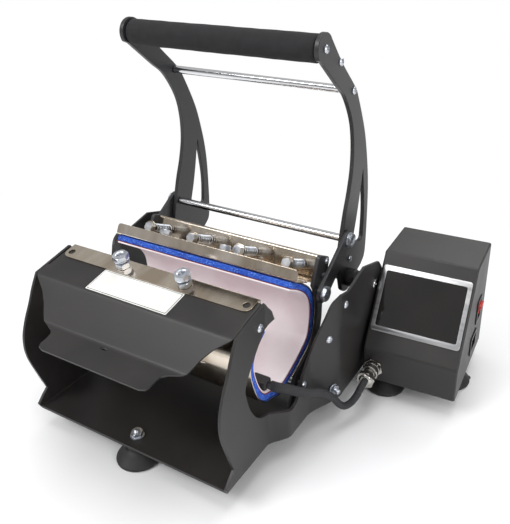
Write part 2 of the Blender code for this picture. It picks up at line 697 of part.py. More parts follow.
def build_links(handle, links):
    inner = ARM_HALF_WIDTH + LINK_END_GAP
    outer = inner + LINK_THICKNESS
    bar = capsule(LINK_PIVOT, ROD_PIVOT, LINK_RADIUS)
    holes = [circle(ROD_PIVOT, ROD_SCREW_RADIUS + CLEARANCE, 16),
             circle(LINK_PIVOT, PIN_RADIUS + CLEARANCE, 16)]
    for side, sign in (("left", -1), ("right", 1)):
        low, high = sorted((sign * inner, sign * outer))
        link = links[side]
        plate("link_" + side, [bar] + holes, low, high, "powder_coat", link)
        out = (sign, 0, 0)
        grip_depth = outer - ARM_HALF_WIDTH + ARM_THICKNESS - CLEARANCE
        screw = [(-grip_depth, ROD_SCREW_RADIUS), (CLEARANCE, ROD_SCREW_RADIUS),
                 (CLEARANCE, HEAD_RADIUS, "hex"),
                 (HEAD_HEIGHT, HEAD_RADIUS, "hex"), (HEAD_HEIGHT, HEAD_RADIUS * HEAD_TOP_SHARE)]
        turned("rod_screw_" + side, screw, (sign * outer, *seat(*ROD_PIVOT)), out, "zinc", handle, sides=24)
        pin = [(-LINK_THICKNESS, PIN_RADIUS), (CLEARANCE, PIN_RADIUS), (CLEARANCE, HEAD_RADIUS, "hex"),
               (HEAD_HEIGHT, HEAD_RADIUS, "hex"), (HEAD_HEIGHT, HEAD_RADIUS * HEAD_TOP_SHARE)]
        turned("link_pin_" + side, pin, (sign * outer, *seat(*LINK_PIVOT)), out, "zinc", link, sides=24)


# Jaw frame: sides, back plate and their studs. Outlines are given for the closed jaw.

JAW_TOP_Z = 0.166
JAW_BACK_Y = 0.143
JAW_REAR_SHARES = [(0.060, 1.0), (0.105, 0.958), (0.120, 0.800), (0.160, 0.650), (0.240, 0.500),
                   (0.270, 0.330),
                   (0.230, 0.200)]
JAW_RISE = 0.144
JAW_SPAN = 0.100
JAW_FRONT_TOP_Y = 0.133
JAW_HUB_RADIUS = 0.012
JAW_HUB_START = radians(20)
JAW_HUB_END = radians(-200)
STUD_RADIUS = 0.0036
FLOAT_ROOM = 0.0030


def jaw_side_outline():
    """The side runs down behind the wrap, so its front edge is the wrap's own curve."""
    closed_wrap = [turn(point, JAW_TRAVEL, JAW_PIVOT) for point in wrap_path()]
    behind = offset_path(closed_wrap, STAINLESS_SHEET + FLOAT_ROOM)
    front = [point for point in behind
             if point[0] > JAW_FRONT_TOP_Y and point[1] > JAW_PIVOT[1] + JAW_HUB_RADIUS]
    crossing = behind[behind.index(front[-1]) + 1]
    rear = through(scaled(JAW_REAR_SHARES, JAW_SPAN, JAW_RISE, JAW_PIVOT), 2)
    hub = arc(JAW_PIVOT, JAW_HUB_RADIUS, JAW_HUB_START, JAW_HUB_END, 10)
    return ([(JAW_FRONT_TOP_Y, JAW_TOP_Z)] + rear + hub + front + [(JAW_FRONT_TOP_Y, crossing[1])])


BACK_PLATE_LOW = 0.134
BACK_FLANGE = 0.010
BACK_SHEET = 0.002
SPRING_HOLE_RADIUS = 0.0045
SPRING_PLACE_SHARES = [-0.8, -0.27, 0.27, 0.8]


def build_jaw_frame(jaw):
    outline = opened(jaw_side_outline())
    hub_hole = circle(JAW_PIVOT, JAW_AXLE_RADIUS + RUNNING_GAP, 16)
    for side, sign in (("left", -1), ("right", 1)):
        low, high = sorted((sign * (JAW_HALF_WIDTH - JAW_SIDE_THICKNESS), sign * JAW_HALF_WIDTH))
        side_plate = plate("jaw_side_" + side, [outline, hub_hole], low, high, "powder_coat", jaw)
        stud_length = ARM_HALF_WIDTH + LINK_END_GAP - JAW_HALF_WIDTH - CLEARANCE
        sunk = JAW_SIDE_THICKNESS / 2
        stud = turned("jaw_stud_" + side, [(-sunk, STUD_RADIUS), (stud_length, STUD_RADIUS)],
                      (sign * JAW_HALF_WIDTH, *seat(*LINK_PIVOT)), (sign, 0, 0), "powder_coat", jaw, sides=20)
        fuse(side_plate, stud)
    half = JAW_HALF_WIDTH - JAW_SIDE_THICKNESS - CLEARANCE
    profile = [(JAW_BACK_Y, BACK_PLATE_LOW), (JAW_BACK_Y, JAW_TOP_Z), (JAW_BACK_Y + BACK_FLANGE, JAW_TOP_Z)]
    rows = [(y, z, half) for y, z in opened(profile)]
    bm = bmesh.new()
    edge = [(bm.verts.new((-w, *seat(y, z))), bm.verts.new((w, *seat(y, z)))) for y, z, w in rows]
    for here, there in zip(edge, edge[1:]):
        bm.faces.new((here[0], here[1], there[1], there[0]))
    back = solidify(add_object("back_plate", bm, "stainless", jaw, smooth=False), BACK_SHEET)
    for number, x in enumerate(spring_places()):
        place, axis = spring_frame(x, JAW_BACK_Y)
        bore = [(-CUTTER_DEPTH, SPRING_HOLE_RADIUS), (CUTTER_DEPTH, SPRING_HOLE_RADIUS)]
        hole = turned("back_hole_%d" % number, bore, place, axis, "zinc", jaw)
        cut(back, hole)


# Sprung mat bracket, wrap, spring bolts and springs

SPRING_Z = 0.152
SPRING_RADIUS = 0.00525
SPRING_WIRE = 0.0006
SPRING_CURLS = 10
SPRING_POINTS_PER_CURL = 9
SPRING_BOLT_RADIUS = 0.003
BOLT_TAIL = 0.014
TAB_THICKNESS = 0.002
TAB_HALF_WIDTH = 0.007
LIP_Y = 0.0815
LIP_TOP_Z = 0.150
BRACKET_REAR_Y = 0.1085
BRACKET_FLOOR_GAP = 0.0019


def spring_places():
    return [share * JAW_HALF_WIDTH for share in SPRING_PLACE_SHARES]


def spring_frame(x, y):
    """The place of a spring's axis at the closed jaw's y, and the way it points, as the open jaw has them."""
    here = opened([(y, SPRING_Z)])[0]
    ahead = opened([(y + SPRING_RADIUS, SPRING_Z)])[0]
    return (x, *seat(*here)), (0, ahead[0] - here[0], ahead[1] - here[1])


def wrap_path():
    outside = offset_path(mat_path(), CLEARANCE + STAINLESS_SHEET)
    return outside[MOVING_MAT_START * MAT_STEPS:]


WRAP_SHORT_BY = 4


def build_wrap(press):
    rows = [(y, z, WRAP_HALF_LENGTH) for y, z in wrap_path()[:-WRAP_SHORT_BY]]
    folded_sheet("rear_wrap", rows, STAINLESS_SHEET, "stainless", press)


def build_bracket(press):
    mat_top = [turn(point, JAW_TRAVEL, JAW_PIVOT) for point in mat_path()]
    floor_z = max(z for y, z in mat_top if y > LIP_Y) + BRACKET_FLOOR_GAP
    profile = [(LIP_Y, LIP_TOP_Z), (LIP_Y, floor_z), (BRACKET_REAR_Y, floor_z)]
    rows = [(y, z, BRACKET_HALF_LENGTH) for y, z in opened(profile)]
    bm = bmesh.new()
    edge = [(bm.verts.new((-w, *seat(y, z))), bm.verts.new((w, *seat(y, z)))) for y, z, w in rows]
    for here, there in zip(edge, edge[1:]):
        bm.faces.new((here[0], there[0], there[1], here[1]))
    bracket = solidify(add_object("mat_bracket", bm, "stainless", press, smooth=False), STAINLESS_SHEET)
    tab_low = floor_z + STAINLESS_SHEET / 2
    for number, x in enumerate(spring_places()):
        outline = opened([(BRACKET_REAR_Y - TAB_THICKNESS, tab_low), (BRACKET_REAR_Y, tab_low),
                          (BRACKET_REAR_Y, SPRING_Z + TAB_HALF_WIDTH),
                          (BRACKET_REAR_Y - TAB_THICKNESS, SPRING_Z + TAB_HALF_WIDTH)])
        sides = (x - TAB_HALF_WIDTH, x + TAB_HALF_WIDTH)
        tab = plate("spring_tab_%d" % number, [outline], *sides, "stainless", press)
        fuse(bracket, tab)
        place, axis = spring_frame(x, BRACKET_REAR_Y)
        hole = turned("tab_hole_%d" % number, [(-CUTTER_DEPTH, SPRING_BOLT_RADIUS + CLEARANCE),
                                                (CUTTER_DEPTH, SPRING_BOLT_RADIUS + CLEARANCE)],
                      place, axis, "zinc", press)
        cut(bracket, hole)


SPRING_HEAD_FLAT = 0.005
SPRING_HEAD_HEIGHT = 0.004


def build_spring_bolts(press):
    front = BRACKET_REAR_Y - TAB_THICKNESS - CLEARANCE
    for number, x in enumerate(spring_places()):
        place, axis = spring_frame(x, front)
        tail = JAW_BACK_Y + BOLT_TAIL - front
        nut_low = JAW_BACK_Y + BACK_SHEET + CLEARANCE - front
        profile = [(-SPRING_HEAD_HEIGHT, SPRING_HEAD_FLAT, "hex"), (0, SPRING_HEAD_FLAT, "hex"),
                   (0, SPRING_BOLT_RADIUS), (nut_low, SPRING_BOLT_RADIUS), (nut_low, SPRING_HEAD_FLAT, "hex"),
                   (nut_low + SPRING_HEAD_HEIGHT, SPRING_HEAD_FLAT, "hex"),
                   (nut_low + SPRING_HEAD_HEIGHT, SPRING_BOLT_RADIUS), (tail, SPRING_BOLT_RADIUS)]
        turned("spring_bolt_%d" % (number + 1), profile, place, axis, "zinc", press, sides=18)
        spring("spring_%d" % (number + 1), x, press)


def spring(name, x, press):
    """One open coil, with a flat turn at each end, from the tab to the back plate."""
    start, _ = spring_frame(x, BRACKET_REAR_Y + CLEARANCE + 2 * SPRING_WIRE)
    end, _ = spring_frame(x, JAW_BACK_Y - CLEARANCE - 2 * SPRING_WIRE)
    start, end = Vector(start), Vector(end)
    along = (end - start).normalized()
    side = Vector((1, 0, 0))
    up = along.cross(side)
    coil = SPRING_RADIUS - SPRING_WIRE
    count = SPRING_CURLS * SPRING_POINTS_PER_CURL
    points = []
    for i in range(count + 1):
        share = i / count
        angle = 2 * pi * SPRING_CURLS * share
        points.append(start + (end - start) * share + (side * cos(angle) + up * sin(angle)) * coil)
    tube(name, [point - press.location for point in points], SPRING_WIRE, "zinc", 1, press)
    pitch = (end - start).length / SPRING_CURLS
    print(name, "least gap between turns %.2f mm" % ((pitch - 2 * SPRING_WIRE) * 1000))


def tube(name, points, radius, finish_name, resolution, carrier=None):
    curve = bpy.data.curves.new(name, "CURVE")
    curve.dimensions = "3D"
    curve.bevel_depth = radius
    curve.bevel_resolution = resolution
    curve.use_fill_caps = True
    line = curve.splines.new("POLY")
    line.points.add(len(points) - 1)
    for slot, point in zip(line.points, points):
        slot.co = (*point, 1)
    curve.materials.append(finish(name, finish_name))
    thing = bpy.data.objects.new(name, curve)
    bpy.context.collection.objects.link(thing)
    if carrier:
        thing.parent = carrier
    return thing


CLAMP_PLACE_SHARES = {"left": -0.54, "right": 0.165}
CLAMP_Y = 0.098
CLAMP_HEAD_FLAT = 0.006
CLAMP_HEAD_HEIGHT = 0.005
CLAMP_SHANK = 0.003
CLAMP_RISE = 0.011


def build_clamp_bolts(press):
    mat_top = [turn(point, JAW_TRAVEL, JAW_PIVOT) for point in mat_path()]
    floor_z = max(z for y, z in mat_top if y > LIP_Y) + BRACKET_FLOOR_GAP + STAINLESS_SHEET
    here = opened([(CLAMP_Y, floor_z + CLEARANCE)])[0]
    above = opened([(CLAMP_Y, floor_z + CLAMP_RISE)])[0]
    axis = (0, above[0] - here[0], above[1] - here[1])
    for side, share in CLAMP_PLACE_SHARES.items():
        profile = [(0, CLAMP_HEAD_FLAT, "hex"), (CLAMP_HEAD_HEIGHT, CLAMP_HEAD_FLAT, "hex"),
                   (CLAMP_HEAD_HEIGHT, CLAMP_SHANK), (CLAMP_RISE, CLAMP_SHANK),
                   (CLAMP_RISE, CLAMP_HEAD_FLAT, "hex"),
                   (CLAMP_RISE + CLAMP_HEAD_HEIGHT, CLAMP_HEAD_FLAT, "hex")]
        place = (share * JAW_HALF_WIDTH, *seat(*here))
        turned("clamp_bolt_" + side, profile, place, axis, "zinc", press, sides=18)


# Console beside the base

CONSOLE_GAP = 0.005
CONSOLE_OVERLAP = 0.056
CONSOLE_TURN = radians(3.5)
CONSOLE_WIDTH = 0.109
CONSOLE_DEPTH = 0.138
CONSOLE_HEIGHT = 0.136
CONSOLE_SHARES = [(0.0, 0.0), (0.0, 0.295), (0.464, 1.0), (1.0, 1.0), (1.0, 0.0)]
CONSOLE_SHEET = 0.0015
CONSOLE_PLATE = 0.002
BEZEL_MARGIN = 0.003
BEZEL_LENGTH = 0.077
BEZEL_THICKNESS = 0.0012
BEZEL_START = 0.022
BEZEL_BORDER = 0.005
GLASS_LENGTH = 0.064
GLASS_THICKNESS = 0.0015


def console_matrix():
    """Places the console's own frame: x to its right from its left edge, y back, z up."""
    right = TAIL_HALF_WIDTH + CONSOLE_GAP + CONSOLE_WIDTH
    corner = Vector((right, *seat(BASE_DEPTH - CONSOLE_OVERLAP, 0)))
    turned_frame = Matrix.Rotation(CONSOLE_TURN, 4, "Z")
    return Matrix.Translation(corner) @ turned_frame @ Matrix.Translation((-CONSOLE_WIDTH, 0, 0))


def in_console(x, y, z):
    return console_matrix() @ Vector((x, y, z))


def console_outline():
    return scaled(CONSOLE_SHARES, CONSOLE_DEPTH, CONSOLE_HEIGHT)


def slope_frame():
    """The start of the sloping panel and its direction, in the console's frame."""
    low, high = console_outline()[1], console_outline()[2]
    length = hypot(high[0] - low[0], high[1] - low[1])
    return low, ((high[0] - low[0]) / length, (high[1] - low[1]) / length)


def console_object(name, bm, finish_name, carrier=None):
    bmesh.ops.transform(bm, verts=bm.verts, matrix=console_matrix())
    return add_object(name, bm, finish_name, carrier, smooth=False)


CONNECTOR_RADIUS = 0.008


def build_console_shell():
    bm = bmesh.new()
    outline = console_outline()
    left = [bm.verts.new((0, y, z)) for y, z in outline]
    right = [bm.verts.new((CONSOLE_WIDTH, y, z)) for y, z in outline]
    for i in range(len(outline) - 1):
        bm.faces.new((left[i], right[i], right[i + 1], left[i + 1]))
    bm.faces.new(left)
    bm.faces.new(list(reversed(right)))
    shell = solidify(console_object("console_shell", bm, "powder_coat"), CONSOLE_SHEET)
    for name, low, high in console_holes():
        cutter = console_object(name, block_mesh(low, high), "zinc")
        cut(shell, cutter)
    bore = turned("connector_hole", [(-CUTTER_DEPTH, CONNECTOR_RADIUS + CLEARANCE),
                                     (CUTTER_DEPTH, CONNECTOR_RADIUS + CLEARANCE)],
                  connector_place(), connector_axis(), "zinc")
    cut(shell, bore)
    inset = CONSOLE_SHEET + CLEARANCE
    low = (inset, inset + CONSOLE_SHEET, CLEARANCE)
    high = (CONSOLE_WIDTH - inset, CONSOLE_DEPTH - inset, CLEARANCE + CONSOLE_PLATE)
    console_object("console_base", block_mesh(low, high), "powder_coat")


SWITCH_Y = 0.096
SWITCH_Z = 0.066
SWITCH_LENGTH = 0.021
SWITCH_HEIGHT = 0.028
SWITCH_DEPTH = 0.016
SWITCH_FLANGE = 0.0015
SWITCH_RIM = 0.002
INLET_Y = 0.080
INLET_Z = 0.030
INLET_LENGTH = 0.028
INLET_HEIGHT = 0.020
INLET_DEPTH = 0.018


def console_holes():
    switch = ("switch_hole",
              (CONSOLE_WIDTH - CUTTER_DEPTH, SWITCH_Y - SWITCH_LENGTH / 2, SWITCH_Z - SWITCH_HEIGHT / 2),
              (CONSOLE_WIDTH + CUTTER_DEPTH, SWITCH_Y + SWITCH_LENGTH / 2, SWITCH_Z + SWITCH_HEIGHT / 2))
    inlet = ("inlet_hole",
             (CONSOLE_WIDTH - CUTTER_DEPTH, INLET_Y - INLET_LENGTH / 2, INLET_Z - INLET_HEIGHT / 2),
             (CONSOLE_WIDTH + CUTTER_DEPTH, INLET_Y + INLET_LENGTH / 2, INLET_Z + INLET_HEIGHT / 2))
    return [switch, inlet]


def framed_box(name, centre, length, height, depth, finish_name):
    """A flanged housing let into the right wall, open outwards."""
    y, z = centre
    bm = bmesh.new()
    face = CONSOLE_WIDTH
    half_y, half_z = length / 2 - CLEARANCE, height / 2 - CLEARANCE
    stations = [(face - depth + SWITCH_RIM, half_y - SWITCH_RIM, half_z - SWITCH_RIM),
                (face + SWITCH_FLANGE, half_y - SWITCH_RIM, half_z - SWITCH_RIM),
                (face + SWITCH_FLANGE, half_y + SWITCH_RIM, half_z + SWITCH_RIM),
                (face + CLEARANCE, half_y + SWITCH_RIM, half_z + SWITCH_RIM),
                (face + CLEARANCE, half_y, half_z),
                (face - depth, half_y, half_z)]
    corners = ((-1, -1), (1, -1), (1, 1), (-1, 1))
    rings = [[bm.verts.new((x, y + sy * wide, z + sz * tall)) for sy, sz in corners]
             for x, wide, tall in stations]
    for first, second in zip(rings, rings[1:]):
        for i in range(len(corners)):
            j = (i + 1) % len(corners)
            bm.faces.new((first[i], first[j], second[j], second[i]))
    bm.faces.new(rings[0])
    bm.faces.new(rings[-1])
    bmesh.ops.recalc_face_normals(bm, faces=bm.faces)
    return console_object(name, bm, finish_name)


ROCKER_SHARES = [(-0.46, 0.0), (-0.30, 0.42), (-0.06, 0.62), (0.30, 0.60), (0.13, 0.0), (-0.03, -0.62),
                 (-0.26, -0.56)]


def build_switch(rocker_axis):
    framed_box("switch_housing", (SWITCH_Y, SWITCH_Z), SWITCH_LENGTH, SWITCH_HEIGHT, SWITCH_DEPTH,
               "black_plastic")
    half = SWITCH_LENGTH / 2 - CLEARANCE - SWITCH_RIM - RUNNING_GAP
    outline = scaled(ROCKER_SHARES, SWITCH_DEPTH, SWITCH_HEIGHT / 2)
    bm = bmesh.new()
    low = [bm.verts.new((CONSOLE_WIDTH + x, SWITCH_Y - half, SWITCH_Z + z)) for x, z in outline]
    high = [bm.verts.new((CONSOLE_WIDTH + x, SWITCH_Y + half, SWITCH_Z + z)) for x, z in outline]
    for i in range(len(outline)):
        j = (i + 1) % len(outline)
        bm.faces.new((low[i], low[j], high[j], high[i]))
    bm.faces.new(low)
    bm.faces.new(high)
    bmesh.ops.recalc_face_normals(bm, faces=bm.faces)
    console_object("power_rocker", bm, "red_plastic", rocker_axis)


ROCKER_PIVOT_SHARE = -0.30


def rocker_place():
    return in_console(CONSOLE_WIDTH + ROCKER_PIVOT_SHARE * SWITCH_DEPTH, SWITCH_Y, SWITCH_Z)


def slope_box(name, across_low, across_high, along_low, along_high, up_low, up_high, finish_name):
    """A flat block lying on the sloping panel."""
    (start_y, start_z), (along_y, along_z) = slope_frame()
    bm = block_mesh((across_low, along_low, up_low), (across_high, along_high, up_high))
    for point in bm.verts:
        along, up = point.co.y, point.co.z
        point.co.y = start_y + along * along_y - up * along_z
        point.co.z = start_z + along * along_z + up * along_y
    return console_object(name, bm, finish_name)


BOARD_INSET = 0.020
BOARD_Z = 0.0026


def build_display():
    low, high = BEZEL_MARGIN, CONSOLE_WIDTH - BEZEL_MARGIN
    bezel = slope_box("lcd_bezel", low, high, BEZEL_START, BEZEL_START + BEZEL_LENGTH,
                      CLEARANCE, CLEARANCE + BEZEL_THICKNESS, "aluminium")
    border = (BEZEL_LENGTH - GLASS_LENGTH) / 2
    glass = (low + BEZEL_BORDER, high - BEZEL_BORDER, BEZEL_START + border,
             BEZEL_START + BEZEL_LENGTH - border)
    window = slope_box("bezel_window", glass[0] - CLEARANCE, glass[1] + CLEARANCE, glass[2] - CLEARANCE,
                       glass[3] + CLEARANCE, -CUTTER_DEPTH, CUTTER_DEPTH, "zinc")
    cut(bezel, window)
    slope_box("touch_glass", *glass, CLEARANCE, CLEARANCE + GLASS_THICKNESS, "glass")
    low = (BOARD_INSET, BOARD_INSET + CONSOLE_SHEET, BOARD_Z)
    high = (CONSOLE_WIDTH - BOARD_INSET, CONSOLE_DEPTH - BOARD_INSET, BOARD_Z + CONSOLE_PLATE)
    console_object("control_board", block_mesh(low, high), "circuit_board")


# Connector on the console's front, its plug and the cable from the mat

CONNECTOR_X = 0.0135
CONNECTOR_Z = 0.017
CONNECTOR_FLANGE = 0.0105
RING_RADIUS = 0.0095
PLUG_RADIUS = 0.0068


def connector_axis():
    low, high = console_outline()[0], console_outline()[1]
    length = hypot(high[0] - low[0], high[1] - low[1])
    out = Vector((0, -(high[1] - low[1]) / length, (high[0] - low[0]) / length))
    return Matrix.Rotation(CONSOLE_TURN, 3, "Z") @ out


def connector_place():
    low, high = console_outline()[0], console_outline()[1]
    y = low[0] + (high[0] - low[0]) * CONNECTOR_Z / (high[1] - low[1])
    return in_console(CONNECTOR_X, y, CONNECTOR_Z)


SOCKET_DEPTH = 0.006
SOCKET_FLANGE_THICKNESS = 0.003
SOCKET_REACH = 0.009
RING_START = 0.0045
RING_LENGTH = 0.010
PLUG_START = 0.0096
PLUG_LENGTH = 0.020
PLUG_NUT_SHARE = 0.66
CABLE_RADIUS = 0.004


def build_connector(ring_axis):
    place, axis = connector_place(), connector_axis()
    socket = [(-SOCKET_DEPTH, CONNECTOR_RADIUS), (CLEARANCE, CONNECTOR_RADIUS),
              (CLEARANCE, CONNECTOR_FLANGE, "hex"), (SOCKET_FLANGE_THICKNESS, CONNECTOR_FLANGE, "hex"),
              (SOCKET_FLANGE_THICKNESS, PLUG_RADIUS), (SOCKET_REACH, PLUG_RADIUS)]
    turned("connector_socket", socket, place, axis, "chrome", sides=24)
    bore = PLUG_RADIUS + RUNNING_GAP
    ring = [(RING_START, bore), (RING_START, RING_RADIUS), (RING_START + RING_LENGTH, RING_RADIUS),
            (RING_START + RING_LENGTH, bore)]
    turned_ring("lock_ring", ring, place, axis, "chrome", ring_axis, sides=24)
    nut, end = PLUG_START + PLUG_LENGTH * PLUG_NUT_SHARE, PLUG_START + PLUG_LENGTH
    plug = [(PLUG_START, PLUG_RADIUS), (nut, PLUG_RADIUS), (nut, RING_RADIUS, "hex"),
            (end, RING_RADIUS, "hex"), (end, CABLE_RADIUS)]
    turned("cable_plug", plug, place, axis, "chrome", sides=24)


CABLE_ROUTE = [
    (0.1215, 0.086, 0.0655), (0.1265, 0.0868, 0.0651), (0.1310, 0.0905, 0.0627), (0.1350, 0.0965, 0.0585),
    (0.1460, 0.113, 0.0470), (0.1535, 0.130, 0.0380), (0.1595, 0.1445, 0.0250), (0.1645, 0.154, 0.0105),
    (0.1680, 0.1615, 0.0035), (0.1715, 0.170, 0.0032), (0.1745, 0.177, 0.0080), (0.1762, 0.1822, 0.0138),
]
CABLE_STEPS = 2
CABLE_STRAIGHT = 0.0075

TERMINAL_LENGTH = 0.0202
TERMINAL_REACH = 0.0022
TERMINAL_LOW = (0.0795, 0.0612)
TERMINAL_HIGH = (0.0925, 0.0702)
TERMINAL_ROUND = 0.003
CLIP_Y = 0.163
CLIP_Z = 0.020
CLIP_FLAT = 0.005
CLIP_HEIGHT = 0.004
CLIP_SHANK = 0.003
CLIP_LENGTH = 0.009


def build_cable():
    end = connector_place() + connector_axis() * (PLUG_START + PLUG_LENGTH + CLEARANCE)
    before = end + connector_axis() * CABLE_STRAIGHT
    route = [Vector((x, *seat(y, z))) for x, y, z in CABLE_ROUTE] + [before]
    terminal_end = MAT_HALF_LENGTH + TERMINAL_REACH
    start = (terminal_end + CLEARANCE, *seat(*CABLE_ROUTE[0][1:]))
    curve = [start] + through([tuple(point) for point in route], CABLE_STEPS) + [tuple(end)]
    tube("heater_cable", curve, CABLE_RADIUS, "braid", 2)
    low = (terminal_end - TERMINAL_LENGTH, *seat(*TERMINAL_LOW))
    high = (terminal_end, *seat(*TERMINAL_HIGH))
    cover = add_object("terminal_cover", block_mesh(low, high), "rubber", smooth=False)
    bevel = cover.modifiers.new("rounding", "BEVEL")
    bevel.width = TERMINAL_ROUND
    bevel.segments = 3
    slope = (half_width_at(CLIP_Y + CLIP_FLAT) - half_width_at(CLIP_Y)) / CLIP_FLAT
    out = Vector((1, -slope, 0)).normalized()
    seat_point = Vector((half_width_at(CLIP_Y), *seat(CLIP_Y, CLIP_Z))) + out * CLEARANCE
    profile = [(0, CLIP_FLAT, "hex"), (CLIP_HEIGHT, CLIP_FLAT, "hex"), (CLIP_HEIGHT, CLIP_SHANK),
               (CLIP_LENGTH, CLIP_SHANK)]
    turned("clip_bolt", profile, seat_point, out, "zinc", sides=18)


CONSOLE_FEET = {"front": (-0.088, 0.026), "right": (-0.020, 0.070), "rear": (-0.080, 0.112)}


def build_console_feet():
    for name, (x, y) in CONSOLE_FEET.items():
        place = in_console(CONSOLE_WIDTH + x, y, 0)
        foot("console_foot_" + name, place.x, place.y)


def print_linkage():
    """The link keeps its length when both pivots reach their closed places."""
    rod, stud = turn(ROD_PIVOT, HANDLE_TRAVEL, ARM_PIVOT), turn(LINK_PIVOT, JAW_TRAVEL, JAW_PIVOT)
    for name, start, end in (("open", ROD_PIVOT, LINK_PIVOT), ("closed", rod, stud)):
        print("link between pivots,", name, "%.5f" % hypot(start[0] - end[0], start[1] - end[1]))


def build():
    clear_scene()
    handle = add_axis("handle_axis", *seat(*ARM_PIVOT))
    press = add_axis("press_axis", *seat(*JAW_PIVOT))
    jaw = add_axis("jaw_axis", *seat(*JAW_PIVOT))
    links = {"left": add_axis("link_left_axis", *seat(*ROD_PIVOT)),
             "right": add_axis("link_right_axis", *seat(*ROD_PIVOT))}
    rocker = add_axis("rocker_axis", rocker_place().y, rocker_place().z, rocker_place().x)
    ring = add_axis("ring_axis", connector_place().y, connector_place().z, connector_place().x)
    build_base()
    build_hood()
    build_cradle()
    build_limit_bolts()
    build_axles(press)
    build_feet()
    build_handle(handle)
    build_links(handle, links)
    build_mat()
    build_jaw_frame(jaw)
    build_wrap(press)
    build_bracket(press)
    build_spring_bolts(press)
    build_clamp_bolts(press)
    build_console_shell()
    build_switch(rocker)
    framed_box("inlet_socket", (INLET_Y, INLET_Z), INLET_LENGTH, INLET_HEIGHT, INLET_DEPTH, "black_plastic")
    build_display()
    build_connector(ring)
    build_cable()
    build_console_feet()
    print_linkage()


build()
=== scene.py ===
from math import atan2, cos, hypot, pi, radians, sin
import bpy
from mathutils import Matrix, Vector


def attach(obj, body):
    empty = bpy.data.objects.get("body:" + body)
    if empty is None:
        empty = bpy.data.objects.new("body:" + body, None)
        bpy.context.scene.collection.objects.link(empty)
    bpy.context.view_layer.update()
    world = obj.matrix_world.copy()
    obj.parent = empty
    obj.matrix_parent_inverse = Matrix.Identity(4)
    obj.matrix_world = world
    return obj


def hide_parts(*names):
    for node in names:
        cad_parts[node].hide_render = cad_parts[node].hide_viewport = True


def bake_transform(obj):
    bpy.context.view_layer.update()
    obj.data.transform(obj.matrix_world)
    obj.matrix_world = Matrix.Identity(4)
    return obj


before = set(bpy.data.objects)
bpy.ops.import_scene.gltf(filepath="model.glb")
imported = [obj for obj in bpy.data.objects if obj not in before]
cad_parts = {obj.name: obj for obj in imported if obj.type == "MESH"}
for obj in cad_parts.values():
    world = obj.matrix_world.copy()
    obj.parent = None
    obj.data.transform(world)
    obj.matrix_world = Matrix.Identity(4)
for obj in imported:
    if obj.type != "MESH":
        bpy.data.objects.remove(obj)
bpy.ops.object.select_all(action="DESELECT")
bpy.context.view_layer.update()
print("frame loaded with", len(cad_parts), "solids")

# Places in the press are given as (y, z) from the front bottom edge of its base, in metres.
layout = {
    "footSetback": 0.018,
    "footHeight": 0.025,
    "baseDepth": 0.286,
    "baseHeight": 0.168,
    "armPivot": (0.262, 0.103),
    "rodPivot": (0.252, 0.157),
    "linkPivot": (0.191, 0.118),
    "jawPivot": (0.150, 0.022),
    "jawTravel": radians(26),
    "upperRod": (0.262, 0.325),
    "grip": (0.196, 0.377),
    "clearance": 0.0003,
    "axleHole": 0.0063,
    "jawAxleHole": 0.0043,
    "rodHole": 0.0033,
}


def seat(y, z):
    # the world y and z of a place in the press
    return (y - layout["footSetback"], z + layout["footHeight"])


bothSides = (("left", -1), ("right", 1))


def outward(sign, x, centre):
    # a place on the left or right of the press, and the direction out of that side
    return (sign * x, *seat(*centre)), (sign, 0, 0)


# Camera, at the photograph's place

camera = {
    "place": (0.3969, -0.3700, 0.5035),
    "turnLeft": radians(28.94),
    "tiltDown": radians(24.17),
    "lens": 45.53,
    "shiftX": -0.0894,
    "shiftY": -0.0837,
}


def placeCamera():
    bpy.ops.object.camera_add(location=camera["place"],
                              rotation=(pi / 2 - camera["tiltDown"], 0, camera["turnLeft"]))
    eye = bpy.context.active_object
    eye.name = "view_camera"
    eye.data.sensor_fit = "HORIZONTAL"
    eye.data.sensor_width = 36
    eye.data.lens = camera["lens"]
    eye.data.shift_x = camera["shiftX"]
    eye.data.shift_y = camera["shiftY"]
    eye.data.clip_start = 0.01
    bpy.context.scene.camera = eye


placeCamera()
print("camera placed")


# Small helpers for working as by hand

def deselect():
    bpy.ops.object.select_all(action="DESELECT")


def use(thing):
    deselect()
    thing.select_set(True)
    bpy.context.view_layer.objects.active = thing
    return thing


def edit(kind="VERT"):
    bpy.ops.object.mode_set(mode="EDIT")
    bpy.ops.mesh.select_mode(type=kind)


def editAll(kind):
    edit(kind)
    bpy.ops.mesh.select_all(action="SELECT")


def leaveEdit():
    bpy.ops.object.mode_set(mode="OBJECT")


def pick(thing, kind, test):
    # selects the vertices, edges or faces that pass the test, and stays in edit mode
    edit(kind)
    bpy.ops.mesh.select_all(action="DESELECT")
    leaveEdit()
    items = {"VERT": thing.data.vertices, "EDGE": thing.data.edges, "FACE": thing.data.polygons}[kind]
    for item in items:
        item.select = bool(test(item))
    edit(kind)


def middle(thing, item):
    points = [thing.data.vertices[i].co for i in item.vertices]
    return sum(points, Vector()) / len(points)


def applyModifiers(thing):
    use(thing)
    for name in [modifier.name for modifier in thing.modifiers]:
        bpy.ops.object.modifier_apply(modifier=name)
    return thing


def settle(thing):
    use(thing)
    bpy.ops.object.transform_apply(location=True, rotation=True, scale=True)
    return thing


def smooth(thing, angle=32):
    use(thing)
    bpy.ops.object.shade_smooth_by_angle(angle=radians(angle))
    return thing


def faceOut(thing):
    use(thing)
    editAll("FACE")
    bpy.ops.mesh.remove_doubles(threshold=0.000002)
    bpy.ops.mesh.normals_make_consistent(inside=False)
    leaveEdit()
    return thing


